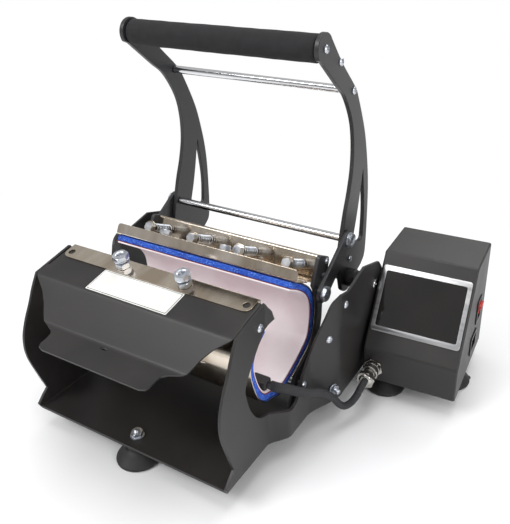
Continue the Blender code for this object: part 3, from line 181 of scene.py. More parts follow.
def softenEdges(thing, width, segments=2, angle=32):
    edge = thing.modifiers.new("edge", "BEVEL")
    edge.width = width
    edge.segments = segments
    edge.limit_method = "ANGLE"
    edge.angle_limit = radians(angle)
    edge.miter_outer = "MITER_ARC"
    applyModifiers(thing)
    smooth(thing, angle + 4)
    even = thing.modifiers.new("even", "WEIGHTED_NORMAL")
    even.keep_sharp = True
    even.weight = 60
    return applyModifiers(thing)


def carve(thing, cutter, operation="DIFFERENCE"):
    hole = thing.modifiers.new("hole", "BOOLEAN")
    hole.operation = operation
    hole.object = cutter
    applyModifiers(thing)
    bpy.data.objects.remove(cutter, do_unlink=True)
    return thing


def joinAll(things):
    deselect()
    for thing in things:
        thing.select_set(True)
    bpy.context.view_layer.objects.active = things[0]
    bpy.ops.object.join()
    return bpy.context.active_object


def copyTo(thing, matrix):
    copy = thing.copy()
    copy.data = thing.data.copy()
    copy.data.transform(matrix)
    bpy.context.collection.objects.link(copy)
    return copy


def pointed(place, axis, roll=0):
    # turns a piece built along +Z so that it starts at place and points along the axis
    tilt = Vector((0, 0, 1)).rotation_difference(Vector(axis).normalized()).to_matrix().to_4x4()
    return Matrix.Translation(Vector(place)) @ tilt @ Matrix.Rotation(roll, 4, "Z")


def dress(piece, name, material, body, trim=False):
    # a piece stands for the solid of its name, unless it is trim that no solid shows
    piece.name = name if trim else name + "_dressed"
    piece.data.name = piece.name
    piece.data.materials.clear()
    piece.data.materials.append(material)
    if isinstance(body, str):
        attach(piece, body)
    if not trim:
        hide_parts(name)
    deselect()
    return piece


# Lines and outlines in the (y, z) plane

def through(points, steps=6):
    ends = [points[0]] + list(points) + [points[-1]]
    curve = []
    for a, b, c, d in zip(ends, ends[1:], ends[2:], ends[3:]):
        for step in range(steps):
            t = step / steps
            curve.append(tuple((2 * q + (r - p) * t + (2 * p - 5 * q + 4 * r - s) * t * t
                                + (3 * q - p - 3 * r + s) * t * t * t) / 2
                               for p, q, r, s in zip(a, b, c, d)))
    curve.append(tuple(points[-1]))
    return curve


def scaled(shares, depth, height, start=(0, 0)):
    return [(start[0] + a * depth, start[1] + b * height) for a, b in shares]


def arc(centre, radius, start, end, steps=16):
    return [(centre[0] + radius * cos(start + (end - start) * i / steps),
             centre[1] + radius * sin(start + (end - start) * i / steps)) for i in range(steps + 1)]


def sideways(points, distance):
    # the path moved to the right of its own direction
    moved = []
    for i, point in enumerate(points):
        before, after = points[max(i - 1, 0)], points[min(i + 1, len(points) - 1)]
        dy, dz = after[0] - before[0], after[1] - before[1]
        length = hypot(dy, dz)
        moved.append((point[0] + distance * dz / length, point[1] - distance * dy / length))
    return moved


def turnAbout(point, angle, pivot):
    dy, dz = point[0] - pivot[0], point[1] - pivot[1]
    return (pivot[0] + dy * cos(angle) - dz * sin(angle), pivot[1] + dy * sin(angle) + dz * cos(angle))


def opened(point):
    # a point of the closed jaw, where it is with the jaw open
    return turnAbout(point, -layout["jawTravel"], layout["jawPivot"])


def between(start, end, share):
    return tuple(a + (b - a) * share for a, b in zip(start, end))


def away(start, end):
    # the world direction that leads from one (y, z) point to the other
    return Vector((0, end[0] - start[0], end[1] - start[1])).normalized()


# Basic forms

def turned(stations, sides=48, place=(0, 0, 0), axis=(0, 0, 1), bore=False):
    # a disc, extruded and scaled from station to station, as (along, radius); with a bore, a ring whose
    # stations close on themselves
    deselect()
    bpy.ops.mesh.primitive_circle_add(vertices=sides, radius=stations[0][1], location=(0, 0, stations[0][0]),
                                      fill_type="NOTHING" if bore else "NGON")
    piece = settle(bpy.context.active_object)
    editAll("VERT" if bore else "FACE")
    following = stations[1:] + stations[:1] if bore else stations[1:]
    for before, after in zip(stations, following):
        bpy.ops.mesh.extrude_region_move(TRANSFORM_OT_translate={"value": (0, 0, after[0] - before[0])})
        ratio = after[1] / before[1]
        bpy.ops.transform.resize(value=(ratio, ratio, 1), center_override=(0, 0, after[0]))
    leaveEdit()
    faceOut(piece)
    piece.data.transform(pointed(place, axis))
    return smooth(piece)


def drill(piece, radius, place, axis=(1, 0, 0), reach=0.01, sides=32):
    # a round hole through a sheet, centred on its place
    return carve(piece, turned([(-reach, radius), (reach, radius)], sides, place, axis))


def cuboid(place, size, turn=0):
    # a plain block about its place, turned about its own upright axis
    deselect()
    bpy.ops.mesh.primitive_cube_add(size=1, location=place, rotation=(0, 0, turn), scale=size)
    return settle(bpy.context.active_object)


def plate(outline, low, high, lift=seat):
    # a flat plate across x, from a disc whose corners are pulled to the outline
    deselect()
    bpy.ops.mesh.primitive_circle_add(vertices=len(outline), radius=0.01, fill_type="NGON")
    piece = bpy.context.active_object
    for vertex, (y, z) in zip(piece.data.vertices, outline):
        vertex.co = (low, *lift(y, z))
    if high == low:
        return piece
    editAll("FACE")
    bpy.ops.mesh.extrude_region_move(TRANSFORM_OT_translate={"value": (high - low, 0, 0)})
    leaveEdit()
    return faceOut(piece)


def openSheet(rows):
    # a plane whose far edge is extruded from row to row, given as (y, z, half width)
    deselect()
    bpy.ops.mesh.primitive_plane_add(size=0.01)
    piece = bpy.context.active_object
    corners = [(-rows[0][2], rows[0]), (rows[0][2], rows[0]), (-rows[1][2], rows[1]), (rows[1][2], rows[1])]
    for vertex, (x, row) in zip(piece.data.vertices, corners):
        vertex.co = (x, *seat(row[0], row[1]))
    pick(piece, "VERT", lambda vertex: vertex.index > 1)
    for before, after in zip(rows[1:], rows[2:]):
        step = (0, after[0] - before[0], after[1] - before[1])
        bpy.ops.mesh.extrude_region_move(TRANSFORM_OT_translate={"value": step})
        bpy.ops.transform.resize(value=(after[2] / before[2], 1, 1),
                                 center_override=(0, *seat(after[0], after[1])))
    leaveEdit()
    return piece


def bendEdges(piece, radius, angle):
    # rounds the folds of a sheet that has no thickness yet
    use(piece)
    edit("EDGE")
    bpy.ops.mesh.select_all(action="DESELECT")
    bpy.ops.mesh.edges_select_sharp(sharpness=radians(angle))
    bpy.ops.mesh.bevel(offset=radius, segments=4, affect="EDGES")
    leaveEdit()


def roundEnd(piece, row, radius):
    # rounds the two corners of a sheet at one of its rows
    place = Vector((0, *seat(*row)))
    pick(piece, "VERT", lambda vertex: (Vector((0, vertex.co.y, vertex.co.z)) - place).length < 0.0001)
    bpy.ops.mesh.bevel(offset=radius, segments=6, affect="VERTICES")
    leaveEdit()


def thicken(piece, thickness, side):
    # side 1 gives the wall to the left of the rows, side -1 to the right
    wall = piece.modifiers.new("wall", "SOLIDIFY")
    wall.thickness = thickness
    wall.offset = side
    wall.use_even_offset = True
    return applyModifiers(piece)


print("helpers ready")


# Finishes: two tones, a roughness that varies and a fine bump, all in real sizes

def tone(red, green, blue):
    # a colour as read on a screen, turned to the linear one that the shader takes
    linear = [((c / 255 + 0.055) / 1.055) ** 2.4 if c > 10 else c / 3295 for c in (red, green, blue)]
    return (*linear, 1)


cloudy = {"toneLow": 0.36, "toneHigh": 0.64, "roughLow": 0.3, "roughHigh": 0.7, "detail": 5, "grainDetail": 3}


def addNode(tree, kind, inputs):
    # a shader node whose inputs get a value, or a link where another node's output is given
    node = tree.nodes.new("ShaderNode" + kind)
    for socket, value in inputs.items():
        if isinstance(value, bpy.types.NodeSocket):
            tree.links.new(value, node.inputs[socket])
        else:
            node.inputs[socket].default_value = value
    return node


def finish(name, look):
    material = bpy.data.materials.new(name)
    material.use_nodes = True
    tree = material.node_tree
    shader = tree.nodes["Principled BSDF"]
    for socket, value in look.get("sockets", {}).items():
        shader.inputs[socket].default_value = value
    place = addNode(tree, "TexCoord", {}).outputs["Object"]
    stretch = addNode(tree, "Mapping", {"Vector": place, "Scale": look.get("stretch", (1, 1, 1))})
    cloud = addNode(tree, "TexNoise", {"Vector": stretch.outputs["Vector"], "Scale": 1 / look["patch"],
                                       "Detail": cloudy["detail"]})
    tones = addNode(tree, "ValToRGB", {"Fac": cloud.outputs["Fac"]})
    for element, position, colour in zip(tones.color_ramp.elements, (cloudy["toneLow"], cloudy["toneHigh"]),
                                         look["tones"]):
        element.position = position
        element.color = tone(*colour)
    spread = addNode(tree, "MapRange", {"Value": cloud.outputs["Fac"], "From Min": cloudy["roughLow"],
                                        "From Max": cloudy["roughHigh"], "To Min": look["rough"][0],
                                        "To Max": look["rough"][1]})
    grain = addNode(tree, "TexNoise", {"Vector": stretch.outputs["Vector"], "Scale": 1 / look["grain"],
                                       "Detail": cloudy["grainDetail"]})
    bump = addNode(tree, "Bump", {"Height": grain.outputs["Fac"], "Strength": look.get("strength", 0.6),
                                  "Distance": look["depth"]})
    tree.links.new(tones.outputs["Color"], shader.inputs["Base Color"])
    tree.links.new(spread.outputs["Result"], shader.inputs["Roughness"])
    tree.links.new(bump.outputs["Normal"], shader.inputs["Normal"])
    return material


def speckled(material, size, light, dark):
    # flecks of a lighter and a darker tone over the base colour, as in moulded sponge
    tree = material.node_tree
    before = tree.nodes["Color Ramp"].outputs["Color"]
    for spot, (colour, low, high) in enumerate(((light, 0.60, 0.66), (dark, 0.62, 0.70))):
        fleck = addNode(tree, "TexNoise", {"Vector": tree.nodes["Mapping"].outputs["Vector"],
                                           "Scale": 1 / (size * (1 + 0.6 * spot)), "Detail": 1})
        share = addNode(tree, "MapRange", {"Value": fleck.outputs["Fac"], "From Min": low, "From Max": high})
        blendOver = tree.nodes.new("ShaderNodeMix")
        blendOver.data_type = "RGBA"
        blendOver.inputs["B"].default_value = tone(*colour)
        tree.links.new(share.outputs["Result"], blendOver.inputs["Factor"])
        tree.links.new(before, blendOver.inputs["A"])
        before = blendOver.outputs["Result"]
    tree.links.new(before, tree.nodes["Principled BSDF"].inputs["Base Color"])
    return material


def braided(material, along, around):
    # two crossing sets of strands, over the cable's own map
    tree = material.node_tree
    strands = []
    for side in (1, -1):
        slant = addNode(tree, "Mapping", {"Vector": tree.nodes["Texture Coordinate"].outputs["UV"],
                                          "Scale": (along, around * side, 1)})
        strand = addNode(tree, "TexWave", {"Vector": slant.outputs["Vector"], "Scale": 1})
        strand.wave_type = "BANDS"
        strand.bands_direction = "DIAGONAL"
        strands.append(strand.outputs["Fac"])
    weave = addNode(tree, "Math", {0: strands[0], 1: strands[1]})
    weave.operation = "MAXIMUM"
    tree.links.new(weave.outputs["Value"], tree.nodes["Bump"].inputs["Height"])
    return material


# Every finish: two tones, the size of the patches between them, the roughness from patch to patch, the size
# and depth of the grain, and what else it needs
metal = {"Metallic": 1.0}
blackPaint = finish("black powder coat", {
    "tones": ((33, 31, 31), (41, 39, 38)), "patch": 0.05, "rough": (0.40, 0.50),
    "grain": 0.0007, "depth": 0.00006, "strength": 0.5})
armPaint = finish("satin black powder coat", {
    "tones": ((39, 39, 41), (48, 48, 50)), "patch": 0.06, "rough": (0.34, 0.44),
    "grain": 0.0006, "depth": 0.00004, "strength": 0.5})
# on the stainless, the lighter and darker patches drawn out along x are painted reflection: streaks that
# stand in for the uneven mirror image on the polished sheet
stainless = finish("polished stainless", {
    "tones": ((182, 168, 150), (230, 220, 206)), "patch": 0.045, "rough": (0.10, 0.19),
    "grain": 0.0009, "depth": 0.00001, "stretch": (1, 0.35, 0.35), "sockets": metal})
chrome = finish("chrome", {
    "tones": ((214, 215, 218), (228, 229, 231)), "patch": 0.03, "rough": (0.07, 0.13),
    "grain": 0.002, "depth": 0.00001, "stretch": (0.2, 1, 1), "sockets": metal})
zinc = finish("bright zinc", {
    "tones": ((188, 194, 204), (218, 221, 226)), "patch": 0.006, "rough": (0.26, 0.38),
    "grain": 0.0005, "depth": 0.000006, "sockets": metal})
# the spring bolts are zinc all through; this darker steel is painted shade, for the shadow that falls on
# their shanks inside the springs
shadedShankSteel = finish("zinc darkened as painted shade", {
    "tones": ((74, 72, 70), (98, 96, 94)), "patch": 0.005, "rough": (0.34, 0.46),
    "grain": 0.0005, "depth": 0.000006, "sockets": metal})
nickel = finish("nickel", {
    "tones": ((186, 184, 178), (212, 210, 204)), "patch": 0.006, "rough": (0.14, 0.26),
    "grain": 0.0008, "depth": 0.00002, "sockets": metal})
sponge = speckled(finish("blue silicone sponge", {
    "tones": ((22, 66, 172), (36, 88, 200)), "patch": 0.012, "rough": (0.72, 0.88),
    "grain": 0.0007, "depth": 0.00025}), 0.0011, (120, 168, 240), (10, 28, 96))
lining = finish("pale liner", {
    "tones": ((238, 224, 227), (247, 239, 241)), "patch": 0.05, "rough": (0.42, 0.56),
    "grain": 0.0012, "depth": 0.00006})
redLine = finish("dark red adhesive line", {
    "tones": ((112, 30, 34), (140, 44, 46)), "patch": 0.004, "rough": (0.5, 0.7),
    "grain": 0.0008, "depth": 0.00005})
foam = finish("black foam", {
    "tones": ((26, 25, 27), (38, 37, 39)), "patch": 0.008, "rough": (0.82, 0.95),
    "grain": 0.0006, "depth": 0.0002, "strength": 0.9})
rubber = finish("black rubber", {
    "tones": ((27, 26, 26), (37, 36, 35)), "patch": 0.015, "rough": (0.48, 0.66),
    "grain": 0.0008, "depth": 0.00005})
blackPlastic = finish("black plastic", {
    "tones": ((22, 22, 23), (30, 30, 31)), "patch": 0.01, "rough": (0.34, 0.46),
    "grain": 0.0005, "depth": 0.00003})
redPlastic = finish("red plastic", {
    "tones": ((206, 34, 28), (226, 48, 38)), "patch": 0.008, "rough": (0.22, 0.34),
    "grain": 0.0008, "depth": 0.00001})
darkGlass = finish("dark glass", {
    "tones": ((17, 15, 14), (23, 20, 18)), "patch": 0.05, "rough": (0.05, 0.09),
    "grain": 0.01, "depth": 0.000005, "sockets": {"Coat Weight": 0.3}})
brushed = finish("brushed aluminium", {
    "tones": ((176, 177, 178), (206, 206, 207)), "patch": 0.006, "rough": (0.30, 0.42),
    "grain": 0.0006, "depth": 0.000006, "stretch": (0.06, 1, 1), "sockets": metal})
board = finish("circuit board", {
    "tones": ((18, 74, 40), (28, 92, 52)), "patch": 0.01, "rough": (0.4, 0.5),
    "grain": 0.001, "depth": 0.00003})
labelWhite = finish("blank white label", {
    "tones": ((228, 228, 224), (238, 238, 235)), "patch": 0.02, "rough": (0.3, 0.42),
    "grain": 0.0015, "depth": 0.00001})
labelEdge = finish("label border", {
    "tones": ((44, 42, 40), (60, 57, 54)), "patch": 0.01, "rough": (0.4, 0.5),
    "grain": 0.001, "depth": 0.00001})
sleeve = braided(finish("braided sleeve", {
    "tones": ((24, 24, 26), (46, 46, 50)), "patch": 0.002, "rough": (0.5, 0.7),
    "grain": 0.0004, "depth": 0.00035, "strength": 0.9}), 300, 6)
print("finishes mixed")


# Fasteners, each modelled once and copied

def hexBlock(flat, height, crown=0.9, foot=0.98, place=0):
    # a six-sided block whose corners are turned off at both ends
    corner = flat / cos(pi / 6)
    top, lead, wide = place + height, 0.001, corner * 1.02
    deselect()
    bpy.ops.mesh.primitive_cylinder_add(vertices=6, radius=corner, depth=height,
                                        location=(0, 0, place + height / 2))
    hexagon = settle(bpy.context.active_object)
    cone = turned([(place - lead, corner * foot * 0.9), (place, corner * foot),
                   (place + height * 0.1, wide), (place + height * 0.82, wide),
                   (top, corner * crown), (top + lead, corner * crown * 0.8)], 36)
    carve(hexagon, cone, "INTERSECT")
    return smooth(faceOut(hexagon), 24)


def thread(radius, low, high, pitch=0.0009):
    # a shank with a groove at every pitch and a pointed tip
    root = radius * 0.86
    groove = ((0.3, 1), (0.55, 1), (0.95, 0.88))
    stations = [(low, root)]
    along = low
    while along + pitch < high:
        stations += [(along + pitch * share, radius * wide) for share, wide in groove]
        along += pitch
    return turned(stations + [(high - 0.0002, root), (high, radius * 0.7)], 24)


def washer(radius, low, high, edge=0.0003, sides=36):
    lip = 0.0001
    return turned([(low, radius - edge), (low + lip, radius), (high - lip, radius), (high, radius - edge)],
                  sides)


def crossed(head, height, size, turn):
    # a cross recess, cut into the crown of a head as two slots
    for quarter in (0, pi / 2):
        carve(head, cuboid((0, 0, height), size, quarter + turn))
    return faceOut(head)


def crossHead(flat, height, place=0):
    # a hexagon head with a dished crown and a cross recess
    head = hexBlock(flat, height, 0.9, 0.98, place)
    top = place + height
    carve(head, turned([(top - 0.0007, flat * 0.55), (top + 0.0004, flat * 0.78)], 32))
    return smooth(crossed(head, top - 0.0006, (flat * 0.92, flat * 0.2, height * 0.62), 0.3), 26)


def hexBolt(flat, height, radius, low, rim=0):
    # a cross-recessed hexagon head above z = 0, its thread below and, with a rim, a flat washer
    pieces = [crossHead(flat, height), thread(radius, low, 0.0005)]
    if rim:
        pieces.append(turned([(0, rim), (0.0001, rim), (0.0009, rim), (0.001, rim - 0.0002)], 32))
    return joinAll(pieces)


def panScrew(radius, height):
    # a domed head with a cross recess
    dome = ((0, 0.96), (0.3, 1), (0.62, 0.9), (0.88, 0.66), (1, 0.34))
    head = turned([(height * up, radius * wide) for up, wide in dome], 32)
    return smooth(crossed(head, height, (radius * 1.1, radius * 0.24, height * 0.9), 0.4), 34)


def scatter(master, name, material, body, places):
    # one copy of the master for each (place, axis, roll), joined to one piece
    copies = [copyTo(master, pointed(*place)) for place in places]
    bpy.data.objects.remove(master, do_unlink=True)
    dress(joinAll(copies), name, material, body, trim=True)


# Base frame: one sheet with a floor, two sides that bow, and wings that step outwards

base = {
    "sheet": 0.003,
    "fold": 0.004,
    "edge": 0.0005,
    "halfWidths": (0.125, 0.1395, 0.156),
    "stepShares": (0.252, 0.329, 0.455, 0.612),
    "stepCuts": (6, 8),
    "front": [(0.007, 0.0), (-0.003, 0.042), (0.024, 0.089)],
    "bow": [(0.045, 0.119), (0.017, 0.262), (-0.010, 0.423), (-0.010, 0.548), (0.010, 0.655), (0.042, 0.762),
            (0.066, 0.851), (0.094, 0.935)],
    "tab": [(0.255, 1.0), (0.276, 0.940), (0.282, 0.888), (0.246, 0.833)],
    "mouth": [(0.213, 0.780), (0.168, 0.690), (0.129, 0.583), (0.133, 0.500), (0.154, 0.393), (0.192, 0.298),
              (0.231, 0.256), (0.273, 0.232), (0.322, 0.214), (0.350, 0.212), (0.378, 0.236), (0.409, 0.340),
              (0.455, 0.440), (0.493, 0.554), (0.531, 0.667), (0.562, 0.762), (0.605, 0.795)],
    "rear": [(0.661, 0.774), (0.804, 0.833), (0.951, 0.760), (0.986, 0.690), (1.0, 0.583), (1.0, 0.0)],
    "earRadius": 0.010,
    "earFoot": 0.020,
    "earPlace": (0.1135, 0.1165),
    "earEdge": 0.0004,
}


def eased(share):
    # a ramp from 0 to 1 with soft ends
    share = min(max(share, 0), 1)
    return 0.35 * share + 0.65 * share * share * (3 - 2 * share)


def baseSteps():
    # where the sides begin and end their two steps outwards
    return [share * layout["baseDepth"] for share in base["stepShares"]]


def baseHalf(y):
    # the half width of the base, from its front to its back
    first, second, third, fourth = baseSteps()
    front, waist, tail = base["halfWidths"]
    return (front + (waist - front) * eased((y - first) / (second - first))
            + (tail - waist) * eased((y - third) / (fourth - third)))


def baseOutline():
    size = (layout["baseDepth"], layout["baseHeight"])
    return (scaled(base["front"], *size) + through(scaled(base["bow"], *size), 5) + scaled(base["tab"], *size)
            + through(scaled(base["mouth"], *size), 4) + scaled(base["rear"], *size))


def makeBase():
    side = plate(baseOutline(), 0, 0)
    first, second, third, fourth = baseSteps()
    edit("FACE")
    for start, end, count in ((first, second, base["stepCuts"][0]), (third, fourth, base["stepCuts"][1])):
        for i in range(count + 1):
            bpy.ops.mesh.select_all(action="SELECT")
            bpy.ops.mesh.bisect(plane_co=(0, *seat(start + (end - start) * i / count, 0)), plane_no=(0, 1, 0))
    bpy.ops.mesh.select_all(action="SELECT")
    bpy.ops.mesh.bisect(plane_co=(0, *seat(0, 2 * base["fold"])), plane_no=(0, 0, 1))
    leaveEdit()
    corners = side.data.vertices
    for vertex in corners:
        vertex.co.x = baseHalf(vertex.co.y + layout["footSetback"])
    floor = layout["footHeight"] + 0.00001
    pick(side, "EDGE", lambda edge: all(corners[i].co.z < floor for i in edge.vertices))
    bpy.ops.mesh.extrude_region_move(TRANSFORM_OT_translate={"value": (0, 0, 0)})
    bpy.ops.transform.resize(value=(0, 1, 1), center_override=(0, 0, 0))
    leaveEdit()
    mirror = side.modifiers.new("other side", "MIRROR")
    mirror.merge_threshold = 0.00002
    applyModifiers(side)
    corners = side.data.vertices
    pick(side, "EDGE", lambda edge: all(corners[i].co.z < floor and abs(corners[i].co.x) > 0.1
                                        for i in edge.vertices))
    bpy.ops.mesh.bevel(offset=base["fold"], segments=5, affect="EDGES")
    leaveEdit()
    faceOut(side)
    outer = max(side.data.polygons, key=lambda face: middle(side, face).x)
    if outer.normal.x < 0:
        editAll("FACE")
        bpy.ops.mesh.flip_normals()
        leaveEdit()
    thicken(side, base["sheet"], -1)
    drill(side, layout["jawAxleHole"], (0, *seat(*layout["jawPivot"])), reach=0.18)
    drill(side, layout["axleHole"], (0, *seat(*layout["armPivot"])), reach=0.18)
    pieces = [softenEdges(side, base["edge"])]
    (y, z), low, foot = layout["jawPivot"], base["sheet"] / 2, base["earFoot"]
    outline = arc((y, z), base["earRadius"], 0, pi) + [(y - foot, low), (y + foot, low)]
    for sign in (-1, 1):
        ear = plate(outline, *sorted(sign * x for x in base["earPlace"]))
        pieces.append(softenEdges(ear, base["earEdge"]))
    dress(joinAll(pieces), "base_frame", blackPaint, "root")


makeBase()
print("base frame bent")


# Hood over the front, with a lip that narrows

hood = {
    "rear": (0.073, 0.1675),
    "topBend": (0.026, 0.157),
    "lowBend": (-0.001, 0.124),
    "lipEnd": (-0.030, 0.119),
    "half": 0.1217,
    "panel": [(0.0, 1.0), (0.10, 0.965), (0.22, 0.915), (0.36, 0.862), (0.60, 0.800), (0.85, 0.755)],
    "lip": [(0.0, 0.723), (0.08, 0.660), (0.18, 0.600), (0.32, 0.562), (0.50, 0.553), (0.80, 0.550),
            (0.93, 0.535), (1.0, 0.490)],
    "flangeShare": 0.35,
    "flangeDrop": 0.024,
    "sheet": 0.002,
    "bend": 0.0022,
    "edge": 0.0004,
    "slot": (-0.004, -0.005, 0.1225),
    "slotRadius": 0.0015,
    "slotReach": 0.0025,
}

# The bolts that limit the closing stand on the hood's top panel
limitBolts = {
    "spacing": 0.039,
    "share": 0.86,
    "hole": 0.0038,
    "shank": 0.0035,
    "tail": -0.0215,
    "washer": 0.0081,
    "washerHeight": 0.0011,
    "nutFlat": 0.0065,
    "nutHeight": 0.006,
    "nutRise": 0.0018,
    "headFlat": 0.0074,
    "headHeight": 0.0050,
    "rise": 0.0118,
}


def hoodSpot(x, share, lift=0):
    # a point above the hood's top panel, by its share from the bend to the rear edge
    y, z = seat(*between(hood["topBend"], hood["rear"], share))
    return Vector((x, y, z)) + hoodUp() * lift


def hoodUp():
    along = away(hood["topBend"], hood["rear"])
    return Vector((0, -along.z, along.y))


def limitSpot(sign):
    return hoodSpot(sign * limitBolts["spacing"], limitBolts["share"])


def makeHood():
    half, bend, fold = hood["half"], hood["topBend"], hood["lowBend"]
    rows = [(*hood["rear"], half), (*between(bend, hood["rear"], hood["flangeShare"]), half)]
    rows += [(*between(bend, fold, along), half * wide) for along, wide in hood["panel"]]
    rows += [(*between(fold, hood["lipEnd"], along), half * wide) for along, wide in hood["lip"]]
    sheet = openSheet(rows)
    front = min(seat(*row[:2])[0] for row in rows[:2])
    rims = []
    for edge in sheet.data.edges:
        first, second = (sheet.data.vertices[i].co for i in edge.vertices)
        if abs(first.x - second.x) < 0.0001 and min(first.y, second.y) > front - 0.0001:
            rims.append(edge.index)
    pick(sheet, "EDGE", lambda edge: edge.index in rims)
    bpy.ops.mesh.extrude_region_move(TRANSFORM_OT_translate={"value": (0, 0, -hood["flangeDrop"])})
    leaveEdit()
    bendEdges(sheet, hood["bend"], 14)
    thicken(sheet, hood["sheet"], 1)
    for sign in (-1, 1):
        drill(sheet, limitBolts["hole"], limitSpot(sign), hoodUp(), 0.008, 28)
    x, y, z = hood["slot"]
    ends = [turned([(-0.008, hood["slotRadius"]), (0.008, hood["slotRadius"])], 20, (x + reach, *seat(y, z)))
            for reach in (-hood["slotReach"], hood["slotReach"])]
    slot = use(joinAll(ends))
    editAll("VERT")
    bpy.ops.mesh.convex_hull()
    leaveEdit()
    carve(sheet, faceOut(slot))
    softenEdges(sheet, hood["edge"])
    dress(sheet, "front_hood", blackPaint, "root")


makeHood()
print("hood bent")


# Blank label on the hood, with a thin border: each layer has its inset, its height and its finish

label = {
    "left": -0.0550,
    "right": 0.0460,
    "low": 0.03,
    "high": 0.655,
    "corner": 0.0012,
    "sheet": 0.00009,
    "layers": (("label", 0, 0.00010, labelWhite), ("label_border", 0.0012, 0.00022, labelEdge),
               ("label_face", 0.0017, 0.00034, labelWhite)),
}


def makeLabel():
    run = hypot(hood["rear"][0] - hood["topBend"][0], hood["rear"][1] - hood["topBend"][1])
    for name, inset, lift, material in label["layers"]:
        low, high = label["low"] + inset / run, label["high"] - inset / run
        left, right = label["left"] + inset, label["right"] - inset
        deselect()
        bpy.ops.mesh.primitive_plane_add(size=1)
        piece = bpy.context.active_object
        corners = ((left, low), (right, low), (left, high), (right, high))
        for vertex, (x, share) in zip(piece.data.vertices, corners):
            vertex.co = hoodSpot(x, share, lift)
        editAll("VERT")
        bpy.ops.mesh.bevel(offset=label["corner"], segments=4, affect="VERTICES")
        leaveEdit()
        thicken(piece, label["sheet"], 1)
        dress(piece, "hood_" + name, material, "root", trim=True)


# Mat in its layers, bending where the jaw turns away from the fixed half

mat = {
    "depth": 0.127,
    "height": 0.118,
    "start": (0.059, 0.037),
    "path": [(0.190, 0.806), (0.071, 0.712), (0.0, 0.585), (0.0, 0.441), (0.071, 0.229), (0.165, 0.102),
             (0.283, 0.051), (0.440, 0.0), (0.606, 0.040), (0.803, 0.136), (0.937, 0.237), (0.990, 0.398),
             (1.0, 0.542), (0.976, 0.669), (0.906, 0.788), (0.795, 0.890), (0.709, 0.949), (0.622, 1.0)],
    "steps": 6,
    "fixedEnd": 7,
    "movingStart": 8,
    "half": 0.116,
    "blanket": 0.0062,
    "line": 0.0006,
    "liner": 0.0020,
    "layerInset": 0.0006,
    "blanketEdge": 0.0011,
    "linerEdge": 0.0007,
    "blend": (0.098, 0.138),
}


def matPath():
    return through(scaled(mat["path"], mat["depth"], mat["height"], mat["start"]), mat["steps"])


def makeMat():
    outer = matPath()
    blanket, line, half, inset = (mat[key] for key in ("blanket", "line", "half", "layerInset"))
    layers = [("silicone_blanket", 0, blanket, half, sponge, "silicone", mat["blanketEdge"]),
              ("liner_bond", blanket, line, half - inset, redLine, "heater_liner", 0),
              ("heating_liner", blanket + line, mat["liner"], half - 2 * inset, lining, "heater_liner",
               mat["linerEdge"])]
    for name, inward, thickness, half, material, slot, edge in layers:
        sheet = openSheet([(y, z, half) for y, z in sideways(outer, -inward)])
        thicken(sheet, thickness, 1)
        if edge:
            softenEdges(sheet, edge, 3, 50)
        dress(sheet, name, material, None, trim=name == "liner_bond")
        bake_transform(sheet)


makeMat()
print("mat layered")


# Stainless cradle with the strip that the limit bolts hold

cradle = {
    "stripShare": 0.66,
    "foldY": 0.0762,
    "neckRise": 0.003,
    "half": 0.1175,
    "sheet": 0.0012,
    "corner": 0.008,
    "bend": 0.0014,
    "edge": 0.0003,
    "endInset": 0.007,
    "endHole": 0.0037,
}


def makeCradle():
    along = away(hood["topBend"], hood["rear"])
    gap = layout["clearance"]
    strip = (between(hood["topBend"], hood["rear"], cradle["stripShare"]), hood["rear"])
    top = [(y - gap * along.z, z + gap * along.y) for y, z in strip]
    corner = (cradle["foldY"], top[1][1] + (cradle["foldY"] - top[1][0]) * along.z / along.y)
    outside = sideways(matPath(), gap + cradle["sheet"])
    half = mat["start"][1] + mat["height"] / 2
    hugging = [point for point in outside[:mat["fixedEnd"] * mat["steps"] + 1]
               if point[0] < cradle["foldY"] - cradle["neckRise"] or point[1] < half]
    neck = (cradle["foldY"], hugging[0][1] + 2 * cradle["neckRise"])
    sheet = openSheet([(y, z, cradle["half"]) for y, z in [top[0], corner, neck] + hugging])
    roundEnd(sheet, top[0], cradle["corner"])
    bendEdges(sheet, cradle["bend"], 30)
    thicken(sheet, cradle["sheet"], 1)
    for sign in (-1, 1):
        drill(sheet, limitBolts["hole"], limitSpot(sign), hoodUp(), 0.008, 28)
    reach, ends = cradle["half"] - cradle["endInset"], seat(*between(top[0], top[1], 0.5))
    for sign in (-1, 1):
        drill(sheet, cradle["endHole"], (sign * reach, *ends), hoodUp(), 0.008, 28)
    softenEdges(sheet, cradle["edge"])
    dress(sheet, "front_cradle", stainless, "root")


makeCradle()
makeLabel()
print("cradle and label laid on")


# Limit bolts on the strip: a nut, a shank and a head, all in bright zinc

def makeLimitBolts():
    bore = limitBolts["shank"] + 0.0001
    for side, sign in bothSides:
        roll = 0.35 + 0.4 * (sign > 0)
        bolt = joinAll([hexBolt(limitBolts["headFlat"], limitBolts["headHeight"], limitBolts["shank"],
                                limitBolts["tail"]),
                        washer(limitBolts["washer"], -limitBolts["washerHeight"], 0)])
        bolt.data.transform(pointed(limitSpot(sign) + hoodUp() * limitBolts["rise"], hoodUp(), roll))
        dress(bolt, "limit_bolt_" + side, zinc, "root")
        nut = hexBlock(limitBolts["nutFlat"], limitBolts["nutHeight"], 0.9, 0.9)
        carve(nut, turned([(-0.002, bore), (0.009, bore)], 28))
        nut.data.transform(pointed(limitSpot(sign) + hoodUp() * limitBolts["nutRise"], hoodUp(), roll + 0.3))
        dress(faceOut(nut), "limit_nut_" + side, zinc, "root")


makeLimitBolts()


# Axles, rods and spacers: each rod has its radius, half length, place, finish, body and slot

